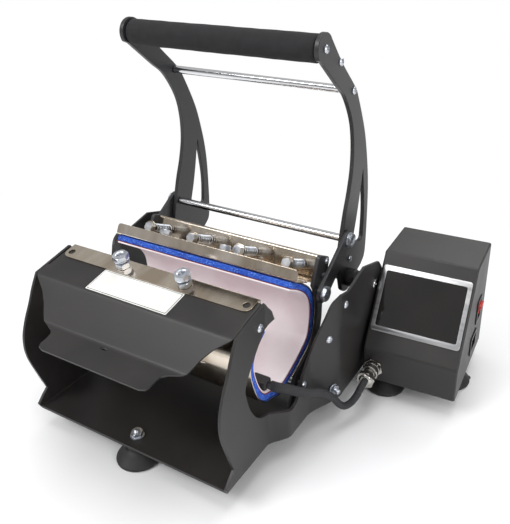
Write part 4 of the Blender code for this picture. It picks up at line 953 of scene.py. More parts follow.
rods = {
    "main_axle": (0.006, 0.1575, layout["armPivot"], chrome, "root", "chrome_steel"),
    "jaw_axle": (0.004, 0.1173, layout["jawPivot"], zinc, "press", "zinc_steel"),
    "upper_rod": (0.0045, 0.1157, layout["upperRod"], chrome, "handle", "chrome_steel"),
    "lower_rod": (0.0045, 0.1157, layout["rodPivot"], chrome, "handle", "chrome_steel"),
    "grip_core": (0.009, 0.1157, layout["grip"], chrome, "handle", "chrome_steel"),
}
spacers = {"start": 0.1213, "length": 0.0314, "bore": layout["axleHole"], "rim": 0.0106, "radius": 0.011,
           "waist": 0.0102, "edge": 0.0006}


def makeRod(name, chamfer=0.0007, rim=0.004):
    radius, half, centre, material, body, slot = rods[name]
    stations = [(-half, radius - chamfer), (-half + chamfer, radius), (-half + rim, radius),
                (half - rim, radius), (half - chamfer, radius), (half, radius - chamfer)]
    piece = turned(stations, 48, (0, *seat(*centre)), (1, 0, 0))
    for end in (-1, 1):
        # a shallow centre dimple in each end face
        carve(piece, turned([(-0.0012, 0.0003), (0.0002, radius * 0.34)], 24, *outward(end, half, centre)))
    dress(smooth(faceOut(piece)), name, material, body)


def makeSpacers():
    keys = ("length", "bore", "rim", "radius", "waist", "edge")
    length, bore, rim, radius, waist, edge = (spacers[key] for key in keys)
    stations = [(0, bore), (0, rim), (edge, radius), (length * 0.3, radius), (length * 0.34, waist),
                (length * 0.66, waist), (length * 0.7, radius), (length - edge, radius), (length, rim),
                (length, bore)]
    for side, sign in bothSides:
        spacer = turned(stations, 48, *outward(sign, spacers["start"], layout["armPivot"]), bore=True)
        dress(spacer, "axle_spacer_" + side, blackPlastic, "root")


makeRod("main_axle")
makeRod("jaw_axle")
makeSpacers()
print("axles turned")


# Suction feet: the cup's outline by shares of its height and radius, its hollow and its pull tab

foot = {
    "radius": 0.024,
    "height": 0.0247,
    "profile": [(0.0, 0.94), (0.05, 0.99), (0.10, 1.0), (0.16, 0.985), (0.20, 0.94), (0.26, 0.87),
                (0.34, 0.775), (0.43, 0.68), (0.52, 0.605), (0.58, 0.52), (0.61, 0.462), (0.66, 0.458),
                (0.93, 0.458), (0.97, 0.45), (1.0, 0.43)],
    "hollow": [(-0.001, 0.86), (0.0012, 0.8), (0.004, 0.45)],
    "tab": [(0, 0.0042), (0.0012, 0.0042), (0.0018, 0.003)],
    "tabPlace": (0.93, 0.0004),
    "turn": 0.6,
    "edge": 0.0003,
}
feet = {"front_suction_foot": (0, 0.018), "rear_suction_foot_left": (-0.105, 0.250),
        "rear_suction_foot_right": (0.105, 0.250)}


def makeFoot(name, x, y):
    radius, (out, up) = foot["radius"], foot["tabPlace"]
    cup = turned([(share * foot["height"], wide * radius) for share, wide in foot["profile"]], 56)
    carve(cup, turned([(along, wide * radius) for along, wide in foot["hollow"]], 48))
    tab = turned(foot["tab"], 24, (radius * out, 0, up))
    cup = joinAll([softenEdges(cup, foot["edge"]), tab])
    cup.data.transform(Matrix.Translation((x, y, 0)) @ Matrix.Rotation(foot["turn"], 4, "Z"))
    dress(cup, name, rubber, "root")


for name, (x, y) in feet.items():
    makeFoot(name, x, seat(y, 0)[0])
print("feet moulded")


# Handle arms, with their long slit, and what joins them

arms = {
    "thickness": (0.116, 0.121),
    "reach": 0.066,
    "rise": 0.274,
    "rear": [(0.273, -0.047), (0.424, -0.018), (0.621, 0.004), (0.758, 0.055), (0.788, 0.245), (0.758, 0.387),
             (0.652, 0.518), (0.500, 0.635), (0.197, 0.781), (0.045, 0.828), (-0.424, 0.931),
             (-0.800, 1.030)],
    "front": [(-1.160, 0.970), (-0.591, 0.858), (-0.288, 0.799), (-0.015, 0.697), (0.091, 0.599),
              (0.091, 0.493), (0.0, 0.398), (-0.136, 0.310), (-0.242, 0.226), (-0.348, 0.128),
              (-0.333, 0.055)],
    "slit": [(0.515, 0.456), (0.409, 0.339), (0.303, 0.245), (0.197, 0.164), (0.258, 0.139), (0.545, 0.124),
             (0.606, 0.164), (0.621, 0.281)],
    "hub": 0.018,
    "edge": 0.0007,
    "screwFace": 0.1211,
    "endScrews": (layout["upperRod"], layout["grip"], (0.229, 0.360)),
    "endScrew": (0.0042, 0.0024),
    "slotScrewPlace": (0.2665, 0.1250),
    "slotScrew": (0.0036, 0.0018),
}


def armOutline():
    size = (arms["reach"], arms["rise"], layout["armPivot"])
    rear = through(scaled(arms["rear"], *size), 6)
    grip = layout["grip"]
    tip = arc(grip, hypot(rear[-1][0] - grip[0], rear[-1][1] - grip[1]),
              atan2(rear[-1][1] - grip[1], rear[-1][0] - grip[0]), radians(215), 20)
    front = through(scaled(arms["front"], *size), 6)
    return rear + tip[1:] + front[1:] + arc(layout["armPivot"], arms["hub"], radians(-150), radians(-55), 20)


def slitOutline():
    points = scaled(arms["slit"], arms["reach"], arms["rise"], layout["armPivot"])
    return through(points + points[:1], 4)[:-1]


def makeArms():
    low, high = arms["thickness"]
    for side, sign in bothSides:
        inner, outer = sorted((sign * low, sign * high))
        arm = plate(armOutline(), inner, outer)
        carve(arm, plate(slitOutline(), inner - 0.002, outer + 0.002))
        drill(arm, layout["axleHole"], ((inner + outer) / 2, *seat(*layout["armPivot"])))
        drill(arm, layout["rodHole"], ((inner + outer) / 2, *seat(*layout["rodPivot"])))
        softenEdges(arm, arms["edge"])
        dress(arm, "arm_" + side, armPaint, "handle")


makeArms()
makeRod("upper_rod")
makeRod("lower_rod")
makeRod("grip_core")

grip = {"half": 0.1145, "radius": 0.0138, "bore": 0.0093, "waves": 24,
        "end": [(0.0004, 0), (0, 0.0008)], "rim": [(0, 0.0022), (0.0005, 0.0008), (0.002, 0)]}


def makeGrip():
    half, radius, bore = grip["half"], grip["radius"], grip["bore"]
    start = [(inset - half, bore + up) for inset, up in grip["end"]]
    start += [(inset - half, radius - down) for inset, down in grip["rim"]]
    # foam is never quite even along its length
    low = start[-1][0]
    waves = [(low - 2 * low * i / grip["waves"], radius + 0.00012 * sin(i * 2.1) + 0.00008 * sin(i * 0.7))
             for i in range(1, grip["waves"])]
    end = [(-along, wide) for along, wide in reversed(start)]
    piece = turned(start + waves + end, 64, (0, *seat(*layout["grip"])), (1, 0, 0), bore=True)
    dress(piece, "foam_grip", foam, "handle")


makeGrip()
screws = [(*outward(sign, arms["screwFace"], centre), roll) for sign, roll in ((-1, 0.2), (1, 1.1))
          for centre in arms["endScrews"]]
scatter(panScrew(*arms["endScrew"]), "arm_end_screws", zinc, "handle", screws)
screws = [(*outward(sign, arms["screwFace"], arms["slotScrewPlace"]), 0.5) for sign in (-1, 1)]
scatter(panScrew(*arms["slotScrew"]), "arm_slot_screws", zinc, "handle", screws)
print("handle built")


# Links between the arms and the jaw: a screw and a pin have their radius, tail and turn

links = {"radius": 0.011, "inner": 0.1215, "outer": 0.126, "bores": 0.124, "edge": 0.0007,
         "head": (0.0075, 0.0045), "washer": 0.0088,
         "screw": (0.0029, -0.0097, 0.4), "pin": (0.0039, -0.0044, 0.9)}


def linkBolt(sign, kind, centre):
    radius, tail, turn = links[kind]
    bolt = hexBolt(*links["head"], radius, tail, links["washer"])
    bolt.data.transform(pointed(*outward(sign, links["outer"], centre), turn))
    return bolt


def makeLinks():
    upper, lower = layout["rodPivot"], layout["linkPivot"]
    slope = atan2(upper[1] - lower[1], upper[0] - lower[0])
    outline = (arc(upper, links["radius"], slope - pi / 2, slope + pi / 2, 20)
               + arc(lower, links["radius"], slope + pi / 2, slope + 3 * pi / 2, 20))
    for side, sign in bothSides:
        inner, outer = sorted((sign * links["inner"], sign * links["outer"]))
        link = plate(outline, inner, outer)
        for centre, radius in ((upper, layout["rodHole"]), (lower, layout["jawAxleHole"])):
            drill(link, radius, (sign * links["bores"], *seat(*centre)))
        softenEdges(link, links["edge"])
        dress(link, "link_" + side, armPaint, "link_" + side)
        dress(linkBolt(sign, "screw", upper), "rod_screw_" + side, zinc, "handle")
        dress(linkBolt(sign, "pin", lower), "link_pin_" + side, zinc, "link_" + side)


makeLinks()
print("links pinned")


# Jaw frame: its outlines are given closed and turned open

jaw = {
    "topZ": 0.166,
    "backY": 0.143,
    "frontY": 0.133,
    "span": 0.100,
    "rise": 0.144,
    "rear": [(0.060, 1.0), (0.105, 0.958), (0.120, 0.800), (0.160, 0.650), (0.240, 0.500), (0.270, 0.330),
             (0.230, 0.200)],
    "hub": 0.012,
    "side": (0.1125, 0.117),
    "room": 0.0030,
    "plateLow": 0.134,
    "flange": 0.010,
    "sheet": 0.002,
    "hole": 0.0045,
    "edge": 0.0006,
    "studEnd": 0.1212,
    "stud": (0.0036, 0.0005),
    "collar": [(0, 0.0056), (0.0004, 0.0060), (0.0012, 0.0060), (0.0015, 0.0056)],
    "screwFace": 0.1171,
    "screws": (((0.152, 0.161), 0.3), ((0.152, 0.144), 1.0)),
    "screw": (0.0036, 0.0022),
}
springs = {"z": 0.152, "radius": 0.00525, "wire": 0.00082, "places": (-0.0936, -0.03159, 0.03159, 0.0936),
           "bracketY": 0.1085, "coils": 8, "seatGap": 0.0009, "grip": 0.002, "closer": 0.045}
wrap = {"half": 0.1166, "sheet": 0.0012, "shorter": 8, "edge": 0.0003}


def wrapPath():
    return sideways(matPath(), layout["clearance"] + wrap["sheet"])[mat["movingStart"] * mat["steps"]:]


def jawOutline():
    pivot = layout["jawPivot"]
    closed = [turnAbout(point, layout["jawTravel"], pivot) for point in wrapPath()]
    behind = sideways(closed, wrap["sheet"] + jaw["room"])
    front = [point for point in behind if point[0] > jaw["frontY"] and point[1] > pivot[1] + jaw["hub"]]
    crossing = behind[behind.index(front[-1]) + 1]
    rear = through(scaled(jaw["rear"], jaw["span"], jaw["rise"], pivot), 5)
    top = [(jaw["frontY"], jaw["topZ"] - 0.004), (jaw["frontY"] + 0.0012, jaw["topZ"] - 0.0012),
           (jaw["frontY"] + 0.004, jaw["topZ"])]
    hub = arc(pivot, jaw["hub"], radians(20), radians(-200), 24)
    return top + rear + hub + front + [(jaw["frontY"], crossing[1])]


def makeJaw():
    outline = [opened(point) for point in jawOutline()]
    low, high = jaw["side"]
    radius, tip = jaw["stud"]
    reach = jaw["studEnd"] - high
    for side, sign in bothSides:
        inner, outer = sorted((sign * low, sign * high))
        cheek = plate(outline, inner, outer)
        drill(cheek, jaw["hole"], ((inner + outer) / 2, *seat(*layout["jawPivot"])))
        softenEdges(cheek, jaw["edge"])
        place = outward(sign, high, layout["linkPivot"])
        stud = turned([(-0.002, radius), (reach - tip, radius), (reach, radius - tip)], 36, *place)
        cheek = joinAll([cheek, stud, turned(jaw["collar"], 40, *place)])
        dress(cheek, "jaw_side_" + side, armPaint, "jaw_frame")
    half = low - layout["clearance"]
    rows = [(jaw["backY"], jaw["plateLow"]), (jaw["backY"], jaw["topZ"]),
            (jaw["backY"] + jaw["flange"], jaw["topZ"])]
    back = openSheet([(*opened(row), half) for row in rows])
    bendEdges(back, 0.0026, 30)
    thicken(back, jaw["sheet"], -1)
    for x in springs["places"]:
        drill(back, jaw["hole"], *springLine(x, jaw["backY"]), 0.006)
    softenEdges(back, 0.0004)
    dress(back, "back_plate", stainless, "jaw_frame")


def springLine(x, y):
    # a place on a spring's axis and the direction along it, with the jaw open
    here, ahead = opened((y, springs["z"])), opened((y + 0.01, springs["z"]))
    return Vector((x, *seat(*here))), away(here, ahead)


makeJaw()
screws = [(*outward(sign, jaw["screwFace"], opened(spot)), roll) for sign in (-1, 1)
          for spot, roll in jaw["screws"]]
scatter(panScrew(*jaw["screw"]), "jaw_side_screws", zinc, "jaw_frame", screws)
print("jaw frame built")


# Wrap behind the moving half of the mat, and the bracket over its front edge

bracket = {"lipY": 0.0815, "lipTop": 0.150, "floorGap": 0.0007, "half": 0.120, "sheet": 0.0012,
           "corner": 0.004, "bend": 0.0022, "edge": 0.0003,
           "tabHalf": 0.007, "tab": 0.002, "tabRise": 0.0006, "tabCorner": 0.005, "tabEdge": 0.00025}


def bracketFloor():
    closed = [turnAbout(point, layout["jawTravel"], layout["jawPivot"]) for point in matPath()]
    return max(z for y, z in closed if y > bracket["lipY"]) + bracket["floorGap"]


def makeWrap():
    sheet = openSheet([(y, z, wrap["half"]) for y, z in wrapPath()[:-wrap["shorter"]]])
    thicken(sheet, wrap["sheet"], 1)
    softenEdges(sheet, wrap["edge"])
    dress(sheet, "rear_wrap", stainless, "press")


def makeTab(x, floor):
    # one tab of the bracket, with its upper corners rounded and a hole for the spring's bolt
    rear, top = springs["bracketY"], springs["z"] + bracket["tabHalf"]
    front, low = rear - bracket["tab"], floor + bracket["tabRise"]
    outline = [opened(point) for point in ((front, low), (rear, low), (rear, top), (front, top))]
    tab = plate(outline, x - bracket["tabHalf"], x + bracket["tabHalf"])
    crest = seat(*opened(((front + rear) / 2, top)))[1] - 0.002

    def isCorner(edge):
        first, second = (tab.data.vertices[i].co for i in edge.vertices)
        return (abs(first.x - second.x) < 0.0001 and min(first.z, second.z) > crest
                and (first - second).length < 0.003)

    pick(tab, "EDGE", isCorner)
    bpy.ops.mesh.bevel(offset=bracket["tabCorner"], segments=6, affect="EDGES")
    leaveEdit()
    drill(tab, layout["rodHole"], *springLine(x, rear), 0.006, 28)
    return softenEdges(faceOut(tab), bracket["tabEdge"])


def makeBracket():
    floor = bracketFloor()
    rows = [(bracket["lipY"], bracket["lipTop"]), (bracket["lipY"], floor), (springs["bracketY"], floor)]
    sheet = openSheet([(*opened(row), bracket["half"]) for row in rows])
    roundEnd(sheet, opened(rows[0]), bracket["corner"])
    bendEdges(sheet, bracket["bend"], 30)
    thicken(sheet, bracket["sheet"], 1)
    pieces = [softenEdges(sheet, bracket["edge"])] + [makeTab(x, floor) for x in springs["places"]]
    dress(joinAll(pieces), "mat_bracket", stainless, "press")


makeWrap()
makeBracket()
print("wrap and bracket folded")


# Spring bolts, springs and the upright clamp bolts

springBolt = {"flat": 0.005, "height": 0.004, "shank": 0.0029, "thread": 0.003, "tail": 0.014}
clamp = {"y": 0.098, "left": -0.06318, "right": 0.0193, "flat": 0.006, "height": 0.005, "shank": 0.003,
         "rise": 0.011, "washer": 0.0068}


def makeSpringBolts():
    flat, height = springBolt["flat"], springBolt["height"]
    front = springs["bracketY"] - bracket["tab"] - layout["clearance"]
    tail = jaw["backY"] + springBolt["tail"] - front
    nutLow = jaw["backY"] + jaw["sheet"] + layout["clearance"] - front
    master = joinAll([hexBlock(flat, height, 0.98, 0.9, -height), hexBlock(flat, height, 0.9, 0.9, nutLow),
                      thread(springBolt["thread"], nutLow, tail)])
    for number, x in enumerate(springs["places"]):
        place, axis = springLine(x, front)
        name = "spring_bolt_%d" % (number + 1)
        bolt = copyTo(master, pointed(place, axis, 0.25 + 0.3 * number))
        dress(bolt, name, zinc, "press")
    bpy.data.objects.remove(master, do_unlink=True)
    # the shank between head and nut gets the darker steel as painted shade, for the shadow inside the spring
    shank = turned([(-0.0004, springBolt["shank"]), (nutLow + 0.0005, springBolt["shank"])], 28)
    lines = [(*springLine(x, front), 0) for x in springs["places"]]
    scatter(shank, "spring_bolt_shanks", shadedShankSteel, "press", lines)


def makeSprings():
    low, high = springs["bracketY"], jaw["backY"]
    start, _ = springLine(0, low + springs["seatGap"])
    end, _ = springLine(0, high - springs["seatGap"])
    length = (end - start).length
    coil = springs["radius"] - springs["wire"]
    bpy.ops.curve.primitive_nurbs_path_add(location=(0, 0, 0))
    curve = bpy.context.active_object
    curve.data.splines.clear()
    line = curve.data.splines.new("POLY")
    count = springs["coils"] * 20
    line.points.add(count)
    for i, point in enumerate(line.points):
        share = i / count
        # the end turns lie closer together, as on a closed and ground spring
        angle = 2 * pi * springs["coils"] * (share - springs["closer"] * sin(2 * pi * share))
        point.co = (coil * cos(angle), coil * sin(angle), 0.0007 + (length - 0.0014) * share, 1)
    curve.data.bevel_depth = springs["wire"]
    curve.data.bevel_resolution = 3
    curve.data.use_fill_caps = True
    use(curve)
    bpy.ops.object.convert(target="MESH")
    master = smooth(faceOut(bpy.context.active_object), 60)
    for number, x in enumerate(springs["places"]):
        place, axis = springLine(x, low + springs["seatGap"])
        name = "spring_%d" % (number + 1)
        spring = copyTo(master, pointed(place, axis, number * 0.8))
        dress(spring, name, zinc, None)
        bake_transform(spring)
    bpy.data.objects.remove(master, do_unlink=True)


def makeClampBolts():
    flat, height, rise = clamp["flat"], clamp["height"], clamp["rise"]
    floor = bracketFloor() + bracket["sheet"]
    here, above = opened((clamp["y"], floor + layout["clearance"])), opened((clamp["y"], floor + 0.02))
    master = joinAll([hexBlock(flat, height, 0.9, 0.95), washer(clamp["washer"], 0.0002, 0.0011, 0.0002),
                      thread(clamp["shank"], height - 0.0005, rise + 0.0005), crossHead(flat, height, rise)])
    for number, side in enumerate(("left", "right")):
        bolt = copyTo(master, pointed((clamp[side], *seat(*here)), away(here, above), 0.2 + 0.5 * number))
        dress(bolt, "clamp_bolt_" + side, zinc, "press")
    bpy.data.objects.remove(master, do_unlink=True)


makeSpringBolts()
makeSprings()
makeClampBolts()
print("springs and bolts fitted")


# Screws on the side sheets, as (y, z, turn), and the nuts that hold the feet

sideScrews = {"places": ((0.120, 0.050, 0.3), (0.157, 0.087, 0.9), (0.182, 0.118, 0.5), (0.063, 0.148, 0.2)),
              "size": (0.0042, 0.0024)}
footNuts = {"size": (0.0055, 0.0045), "shank": 0.003, "tip": 0.008, "washer": 0.0073, "lift": 0.0008,
            "turn": 0.3}


def flare(low, high):
    # how much a side sheet moves outwards per length between two places
    return (baseHalf(high) - baseHalf(low)) / (high - low)


def makeBaseScrews():
    places = []
    for y, z, roll in sideScrews["places"]:
        out = flare(y - 0.002, y + 0.002)
        for sign in (-1, 1):
            places.append(((sign * (baseHalf(y) - 0.0001), *seat(y, z)), (sign, -out, 0), roll))
    scatter(panScrew(*sideScrews["size"]), "side_screws", zinc, "root", places)
    lift = footNuts["lift"]
    nut = joinAll([hexBlock(*footNuts["size"]), thread(footNuts["shank"], 0, footNuts["tip"]),
                   washer(footNuts["washer"], -lift, 0.0001, sides=48)])
    floor = seat(0, base["sheet"] + lift)[1]
    places = [((x, seat(y, 0)[0], floor), (0, 0, 1), footNuts["turn"]) for x, y in feet.values()]
    scatter(nut, "foot_nuts", zinc, "root", places)


makeBaseScrews()
print("side screws set")


# Console beside the base, drawn in its own frame and set down turned

console = {
    "right": 0.270,
    "front": 0.230,
    "turn": radians(3.5),
    "width": 0.109,
    "depth": 0.138,
    "height": 0.136,
    "shares": [(0.0, 0.0), (0.0, 0.295), (0.464, 1.0), (1.0, 1.0), (1.0, 0.0)],
    "corner": 0.0024,
    "sheet": 0.0015,
    "screenStart": 0.022,
    "screenLength": 0.077,
    "screenInset": 0.003,
    "border": 0.005,
    "glassLength": 0.064,
    "glassGap": 0.0003,
    "floorGap": 0.0015,
    "boardInset": (0.020, 0.0215),
    "feet": {"front": (0.021, 0.026), "right": (0.089, 0.070), "rear": (0.029, 0.112)},
    "screw": (0.0032, 0.0018),
    "screwPlaces": ((-0.0001, 0.012, (-1, 0, 0)), (-0.0001, 0.126, (-1, 0, 0)), (0.012, 0.1381, (0, 1, 0)),
                    (0.097, 0.1381, (0, 1, 0))),
    "screwHeight": 0.008,
}
vents = {"count": 6, "low": (0.030, 0.0, 0), "high": (0.079, 0.0028, 0.02), "corner": 0.0013, "start": 0.042,
         "step": 0.009}

consoleFrame = (Matrix.Translation((console["right"], *seat(console["front"], 0)))
                @ Matrix.Rotation(console["turn"], 4, "Z") @ Matrix.Translation((-console["width"], 0, 0)))


def consoleOutline():
    return scaled(console["shares"], console["depth"], console["height"])


def slopeFrame():
    # x across the sloping panel, y up along it and z out of it
    low, high = consoleOutline()[1:3]
    along = Vector((0, high[0] - low[0], high[1] - low[1])).normalized()
    out = Vector((1, 0, 0)).cross(along)
    panel = Matrix((Vector((1, 0, 0)), along, out)).transposed().to_4x4()
    return Matrix.Translation((0, *low)) @ panel


def wallFrame(y, z):
    # x along the right wall to the back, y up and z outwards
    wall = Matrix(((0, 0, 1), (1, 0, 0), (0, 1, 0))).to_4x4()
    return Matrix.Translation((console["width"], y, z)) @ wall


def bolster(low, high, corner, round=0.0004, place=Matrix()):
    # a block with rounded upright edges and softened rims, in the console's frame
    block = cuboid([(a + b) / 2 for a, b in zip(low, high)], [b - a for a, b in zip(low, high)])

    def isUpright(edge):
        first, second = (block.data.vertices[i].co for i in edge.vertices)
        return abs(first.z - second.z) > 0.00001

    pick(block, "EDGE", isUpright)
    bpy.ops.mesh.bevel(offset=corner, segments=6, affect="EDGES")
    leaveEdit()
    if round:
        softenEdges(block, round)
    block.data.transform(consoleFrame @ place)
    return block


def asDrawn(x, y):
    # the lift of a plate that is drawn in its own frame
    return (x, y)


switch = {"y": 0.096, "z": 0.066, "length": 0.021, "height": 0.028, "depth": 0.016, "gap": 0.0005,
          "rocker": [(-0.46, 0.0), (-0.42, 0.20), (-0.30, 0.42), (-0.06, 0.62), (0.30, 0.60), (0.27, 0.44),
                     (0.18, 0.20), (0.13, 0.0), (0.05, -0.28), (-0.03, -0.62), (-0.26, -0.56),
                     (-0.38, -0.30)]}
inlet = {"y": 0.080, "z": 0.030, "length": 0.028, "height": 0.020, "depth": 0.018,
         "pins": ((-0.006, -0.0015), (0.0, 0.0025), (0.006, -0.0015)), "pinHalf": (0.0011, 0.0028),
         "pinDepth": (-0.0162, -0.003)}
housing = {"rim": 0.002, "low": 0.0006, "high": 0.0015, "corner": 0.0012, "rimCorner": 0.0022,
           "inCorner": 0.001, "edge": 0.0003}
connector = {
    "x": 0.0135,
    "up": 0.017,
    "hole": 0.0083,
    "flange": (0.0103, 0.0027, 0.9, 0.95, 0.0003),
    "collar": [(-0.006, 0.008), (0.0003, 0.008)],
    "neck": [(0.0025, 0.0068), (0.0085, 0.0068), (0.009, 0.0063)],
    "ring": [(0.0045, 0.0073), (0.0045, 0.0089), (0.0050, 0.0095), (0.0070, 0.0095), (0.0073, 0.0091),
             (0.0118, 0.0091), (0.0121, 0.0095), (0.0140, 0.0095), (0.0145, 0.0089), (0.0145, 0.0073)],
    "grooves": 24,
    "groovePlace": (0.0096, 0, 0.00955),
    "grooveSize": (0.0011, 0.0006, 0.0042),
}


def onWall(part):
    return wallFrame(part["y"], part["z"])


def connectorLine():
    # the connector's place in the console's low front and the direction out of it
    low, high = consoleOutline()[:2]
    depth, height = high[0] - low[0], high[1] - low[1]
    place = Vector((connector["x"], low[0] + depth * connector["up"] / height, connector["up"]))
    return consoleFrame @ place, consoleFrame.to_3x3() @ Vector((0, -height, depth)).normalized()


def makeShell():
    shell = plate(consoleOutline(), 0, console["width"], asDrawn)
    pick(shell, "EDGE", lambda edge: max(shell.data.vertices[i].co.z for i in edge.vertices) > 0.001)
    bpy.ops.mesh.bevel(offset=console["corner"], segments=5, affect="EDGES")
    leaveEdit()
    pick(shell, "FACE", lambda face: face.normal.z < -0.9)
    bpy.ops.mesh.delete(type="FACE")
    leaveEdit()
    thicken(shell, console["sheet"], -1)
    shell.data.transform(consoleFrame)
    for part in (switch, inlet):
        wide, tall = part["length"] / 2, part["height"] / 2
        carve(shell, bolster((-wide, -tall, -0.008), (wide, tall, 0.008), housing["inCorner"], 0,
                             onWall(part)))
    drill(shell, connector["hole"], *connectorLine(), 0.008, 40)
    upright = Matrix.Rotation(-pi / 2, 4, "X")
    slots = []
    for i in range(vents["count"]):
        spot = Matrix.Translation((0, console["depth"] - 0.01, vents["start"] + vents["step"] * i))
        slots.append(bolster(vents["low"], vents["high"], vents["corner"], 0, spot @ upright))
    carve(shell, joinAll(slots))
    smooth(faceOut(shell), 30)
    even = shell.modifiers.new("even", "WEIGHTED_NORMAL")
    even.keep_sharp = True
    applyModifiers(shell)
    dress(shell, "console_shell", blackPaint, "root")


def makeHousing(name, part):
    # a box through the wall, open to the outside, with a rim around it
    gap, rim, depth = layout["clearance"], housing["rim"], part["depth"]
    wide, tall = part["length"] / 2 - gap, part["height"] / 2 - gap
    body = bolster((-wide, -tall, -depth), (wide, tall, housing["low"]), housing["corner"], 0, onWall(part))
    carve(body, bolster((-wide - rim, -tall - rim, gap), (wide + rim, tall + rim, housing["high"]),
                        housing["rimCorner"], 0, onWall(part)), "UNION")
    carve(body, bolster((rim - wide, rim - tall, rim - depth), (wide - rim, tall - rim, 0.004),
                        housing["inCorner"], 0, onWall(part)))
    softenEdges(faceOut(body), housing["edge"])
    dress(body, name, blackPlastic, "root")


def makeRocker():
    half = switch["length"] / 2 - layout["clearance"] - housing["rim"] - switch["gap"]
    outline = scaled(switch["rocker"], switch["depth"], switch["height"] / 2)
    rocker = plate([(up, out) for out, up in outline], -half, half, asDrawn)
    softenEdges(rocker, 0.0006, 3, 24)
    rocker.data.transform(consoleFrame @ onWall(switch))
    dress(rocker, "power_rocker", redPlastic, "rocker")


def makeInletPins():
    (wide, tall), (low, high) = inlet["pinHalf"], inlet["pinDepth"]
    pins = [bolster((x - wide, y - tall, low), (x + wide, y + tall, high), 0.0004, 0.0003, onWall(inlet))
            for x, y in inlet["pins"]]
    dress(joinAll(pins), "inlet_pins", nickel, "root", trim=True)


def makeScreen():
    low, high = console["screenInset"], console["width"] - console["screenInset"]
    start, end = console["screenStart"], console["screenStart"] + console["screenLength"]
    rim, gap = (console["screenLength"] - console["glassLength"]) / 2, console["glassGap"]
    left, right = low + console["border"], high - console["border"]
    bezel = bolster((low, start, 0.0003), (high, end, 0.0015), 0.0032, 0.0004, slopeFrame())
    carve(bezel, bolster((left - gap, start + rim - gap, -0.004), (right + gap, end - rim + gap, 0.004),
                         0.0023, 0, slopeFrame()))
    dress(smooth(faceOut(bezel), 30), "lcd_bezel", brushed, "root")
    glass = bolster((left, start + rim, 0.0003), (right, end - rim, 0.0018), 0.0020, 0.0003, slopeFrame())
    dress(glass, "touch_glass", darkGlass, "root")


def makeConsoleFloor():
    # the floor plate, the board on it, the feet below it and the screws through the walls
    width, depth, inset = console["width"], console["depth"], console["sheet"] + layout["clearance"]
    low = bolster((inset, inset + console["floorGap"], 0.0003), (width - inset, depth - inset, 0.0023),
                  0.003, 0.0003)
    dress(low, "console_base", blackPaint, "root")
    edge, front = console["boardInset"]
    card = bolster((edge, front, 0.0026), (width - edge, depth - edge, 0.0046), 0.002, 0.0002)
    dress(card, "control_board", board, "root")
    for side, (x, y) in console["feet"].items():
        place = consoleFrame @ Vector((x, y, 0))
        makeFoot("console_foot_" + side, place.x, place.y)
    facing, up = consoleFrame.to_3x3(), console["screwHeight"]
    places = [(consoleFrame @ Vector((x, y, up)), facing @ Vector(out), 0.4)
              for x, y, out in console["screwPlaces"]]
    scatter(panScrew(*console["screw"]), "console_screws", zinc, "root", places)


makeShell()
makeHousing("switch_housing", switch)
makeHousing("inlet_socket", inlet)
makeRocker()
makeInletPins()
makeScreen()
makeConsoleFloor()
print("console built")


# Connector, its ring, the plug and the cable from the mat

plug = {"start": 0.0096, "length": 0.020, "nutShare": 0.66, "radius": 0.0068, "waist": 0.0064,
        "gland": 0.0095}


def makeConnector():
    place, axis = connectorLine()
    socket = joinAll([hexBlock(*connector["flange"]), turned(connector["collar"], 40),
                      turned(connector["neck"], 40)])
    socket.data.transform(pointed(place, axis, 0.3))
    dress(socket, "connector_socket", nickel, "root")
    ring = turned(connector["ring"], 60, bore=True)
    groove = cuboid(connector["groovePlace"], connector["grooveSize"])
    grooves = [groove] + [copyTo(groove, Matrix.Rotation(2 * pi * i / connector["grooves"], 4, "Z"))
                          for i in range(1, connector["grooves"])]
    carve(ring, joinAll(grooves))
    ring.data.transform(pointed(place, axis))
    dress(smooth(faceOut(ring), 30), "lock_ring", nickel, "lock_ring")


def makePlug():
    place, axis = connectorLine()
    start, end = plug["start"], plug["start"] + plug["length"]
    nut, wide, waist = start + plug["length"] * plug["nutShare"], plug["radius"], plug["waist"]
    barrel = turned([(start, waist), (start + 0.0004, wide), (nut - 0.003, wide), (nut - 0.0028, waist),
                     (nut - 0.0012, waist), (nut - 0.001, wide), (nut + 0.0002, wide)], 48)
    gland = hexBlock(plug["gland"], (end - nut) * 0.75, 0.9, 0.93, nut)
    tail = turned([(nut + (end - nut) * 0.7, 0.0078), (end - 0.0012, 0.0072), (end - 0.0002, 0.0058),
                   (end, 0.0048)], 48)
    holder = joinAll([barrel, gland, tail])
    holder.data.transform(pointed(place, axis, 0.8))
    return dress(holder, "cable_plug", nickel, "root")


cable = {
    "radius": 0.004,
    "start": 0.1185,
    "route": [(0.1215, 0.086, 0.0655), (0.1265, 0.0868, 0.0651), (0.1310, 0.0905, 0.0627),
              (0.1350, 0.0965, 0.0585), (0.1460, 0.113, 0.0470), (0.1535, 0.130, 0.0380),
              (0.1595, 0.1445, 0.0250), (0.1645, 0.154, 0.0105), (0.1680, 0.1615, 0.0035),
              (0.1715, 0.170, 0.0032), (0.1745, 0.177, 0.0080), (0.1762, 0.1822, 0.0138)],
    "straight": 0.0075,
    "sides": 20,
    "flatUntil": 0.36,
    "flatEnds": (0.03, 0.12),
    "flat": (0.60, 1.70),
    "coverLow": (0.098, *seat(0.0795, 0.0612)),
    "coverHigh": (0.1182, *seat(0.0925, 0.0702)),
    "coverEdges": (0.0028, 0.0012),
}


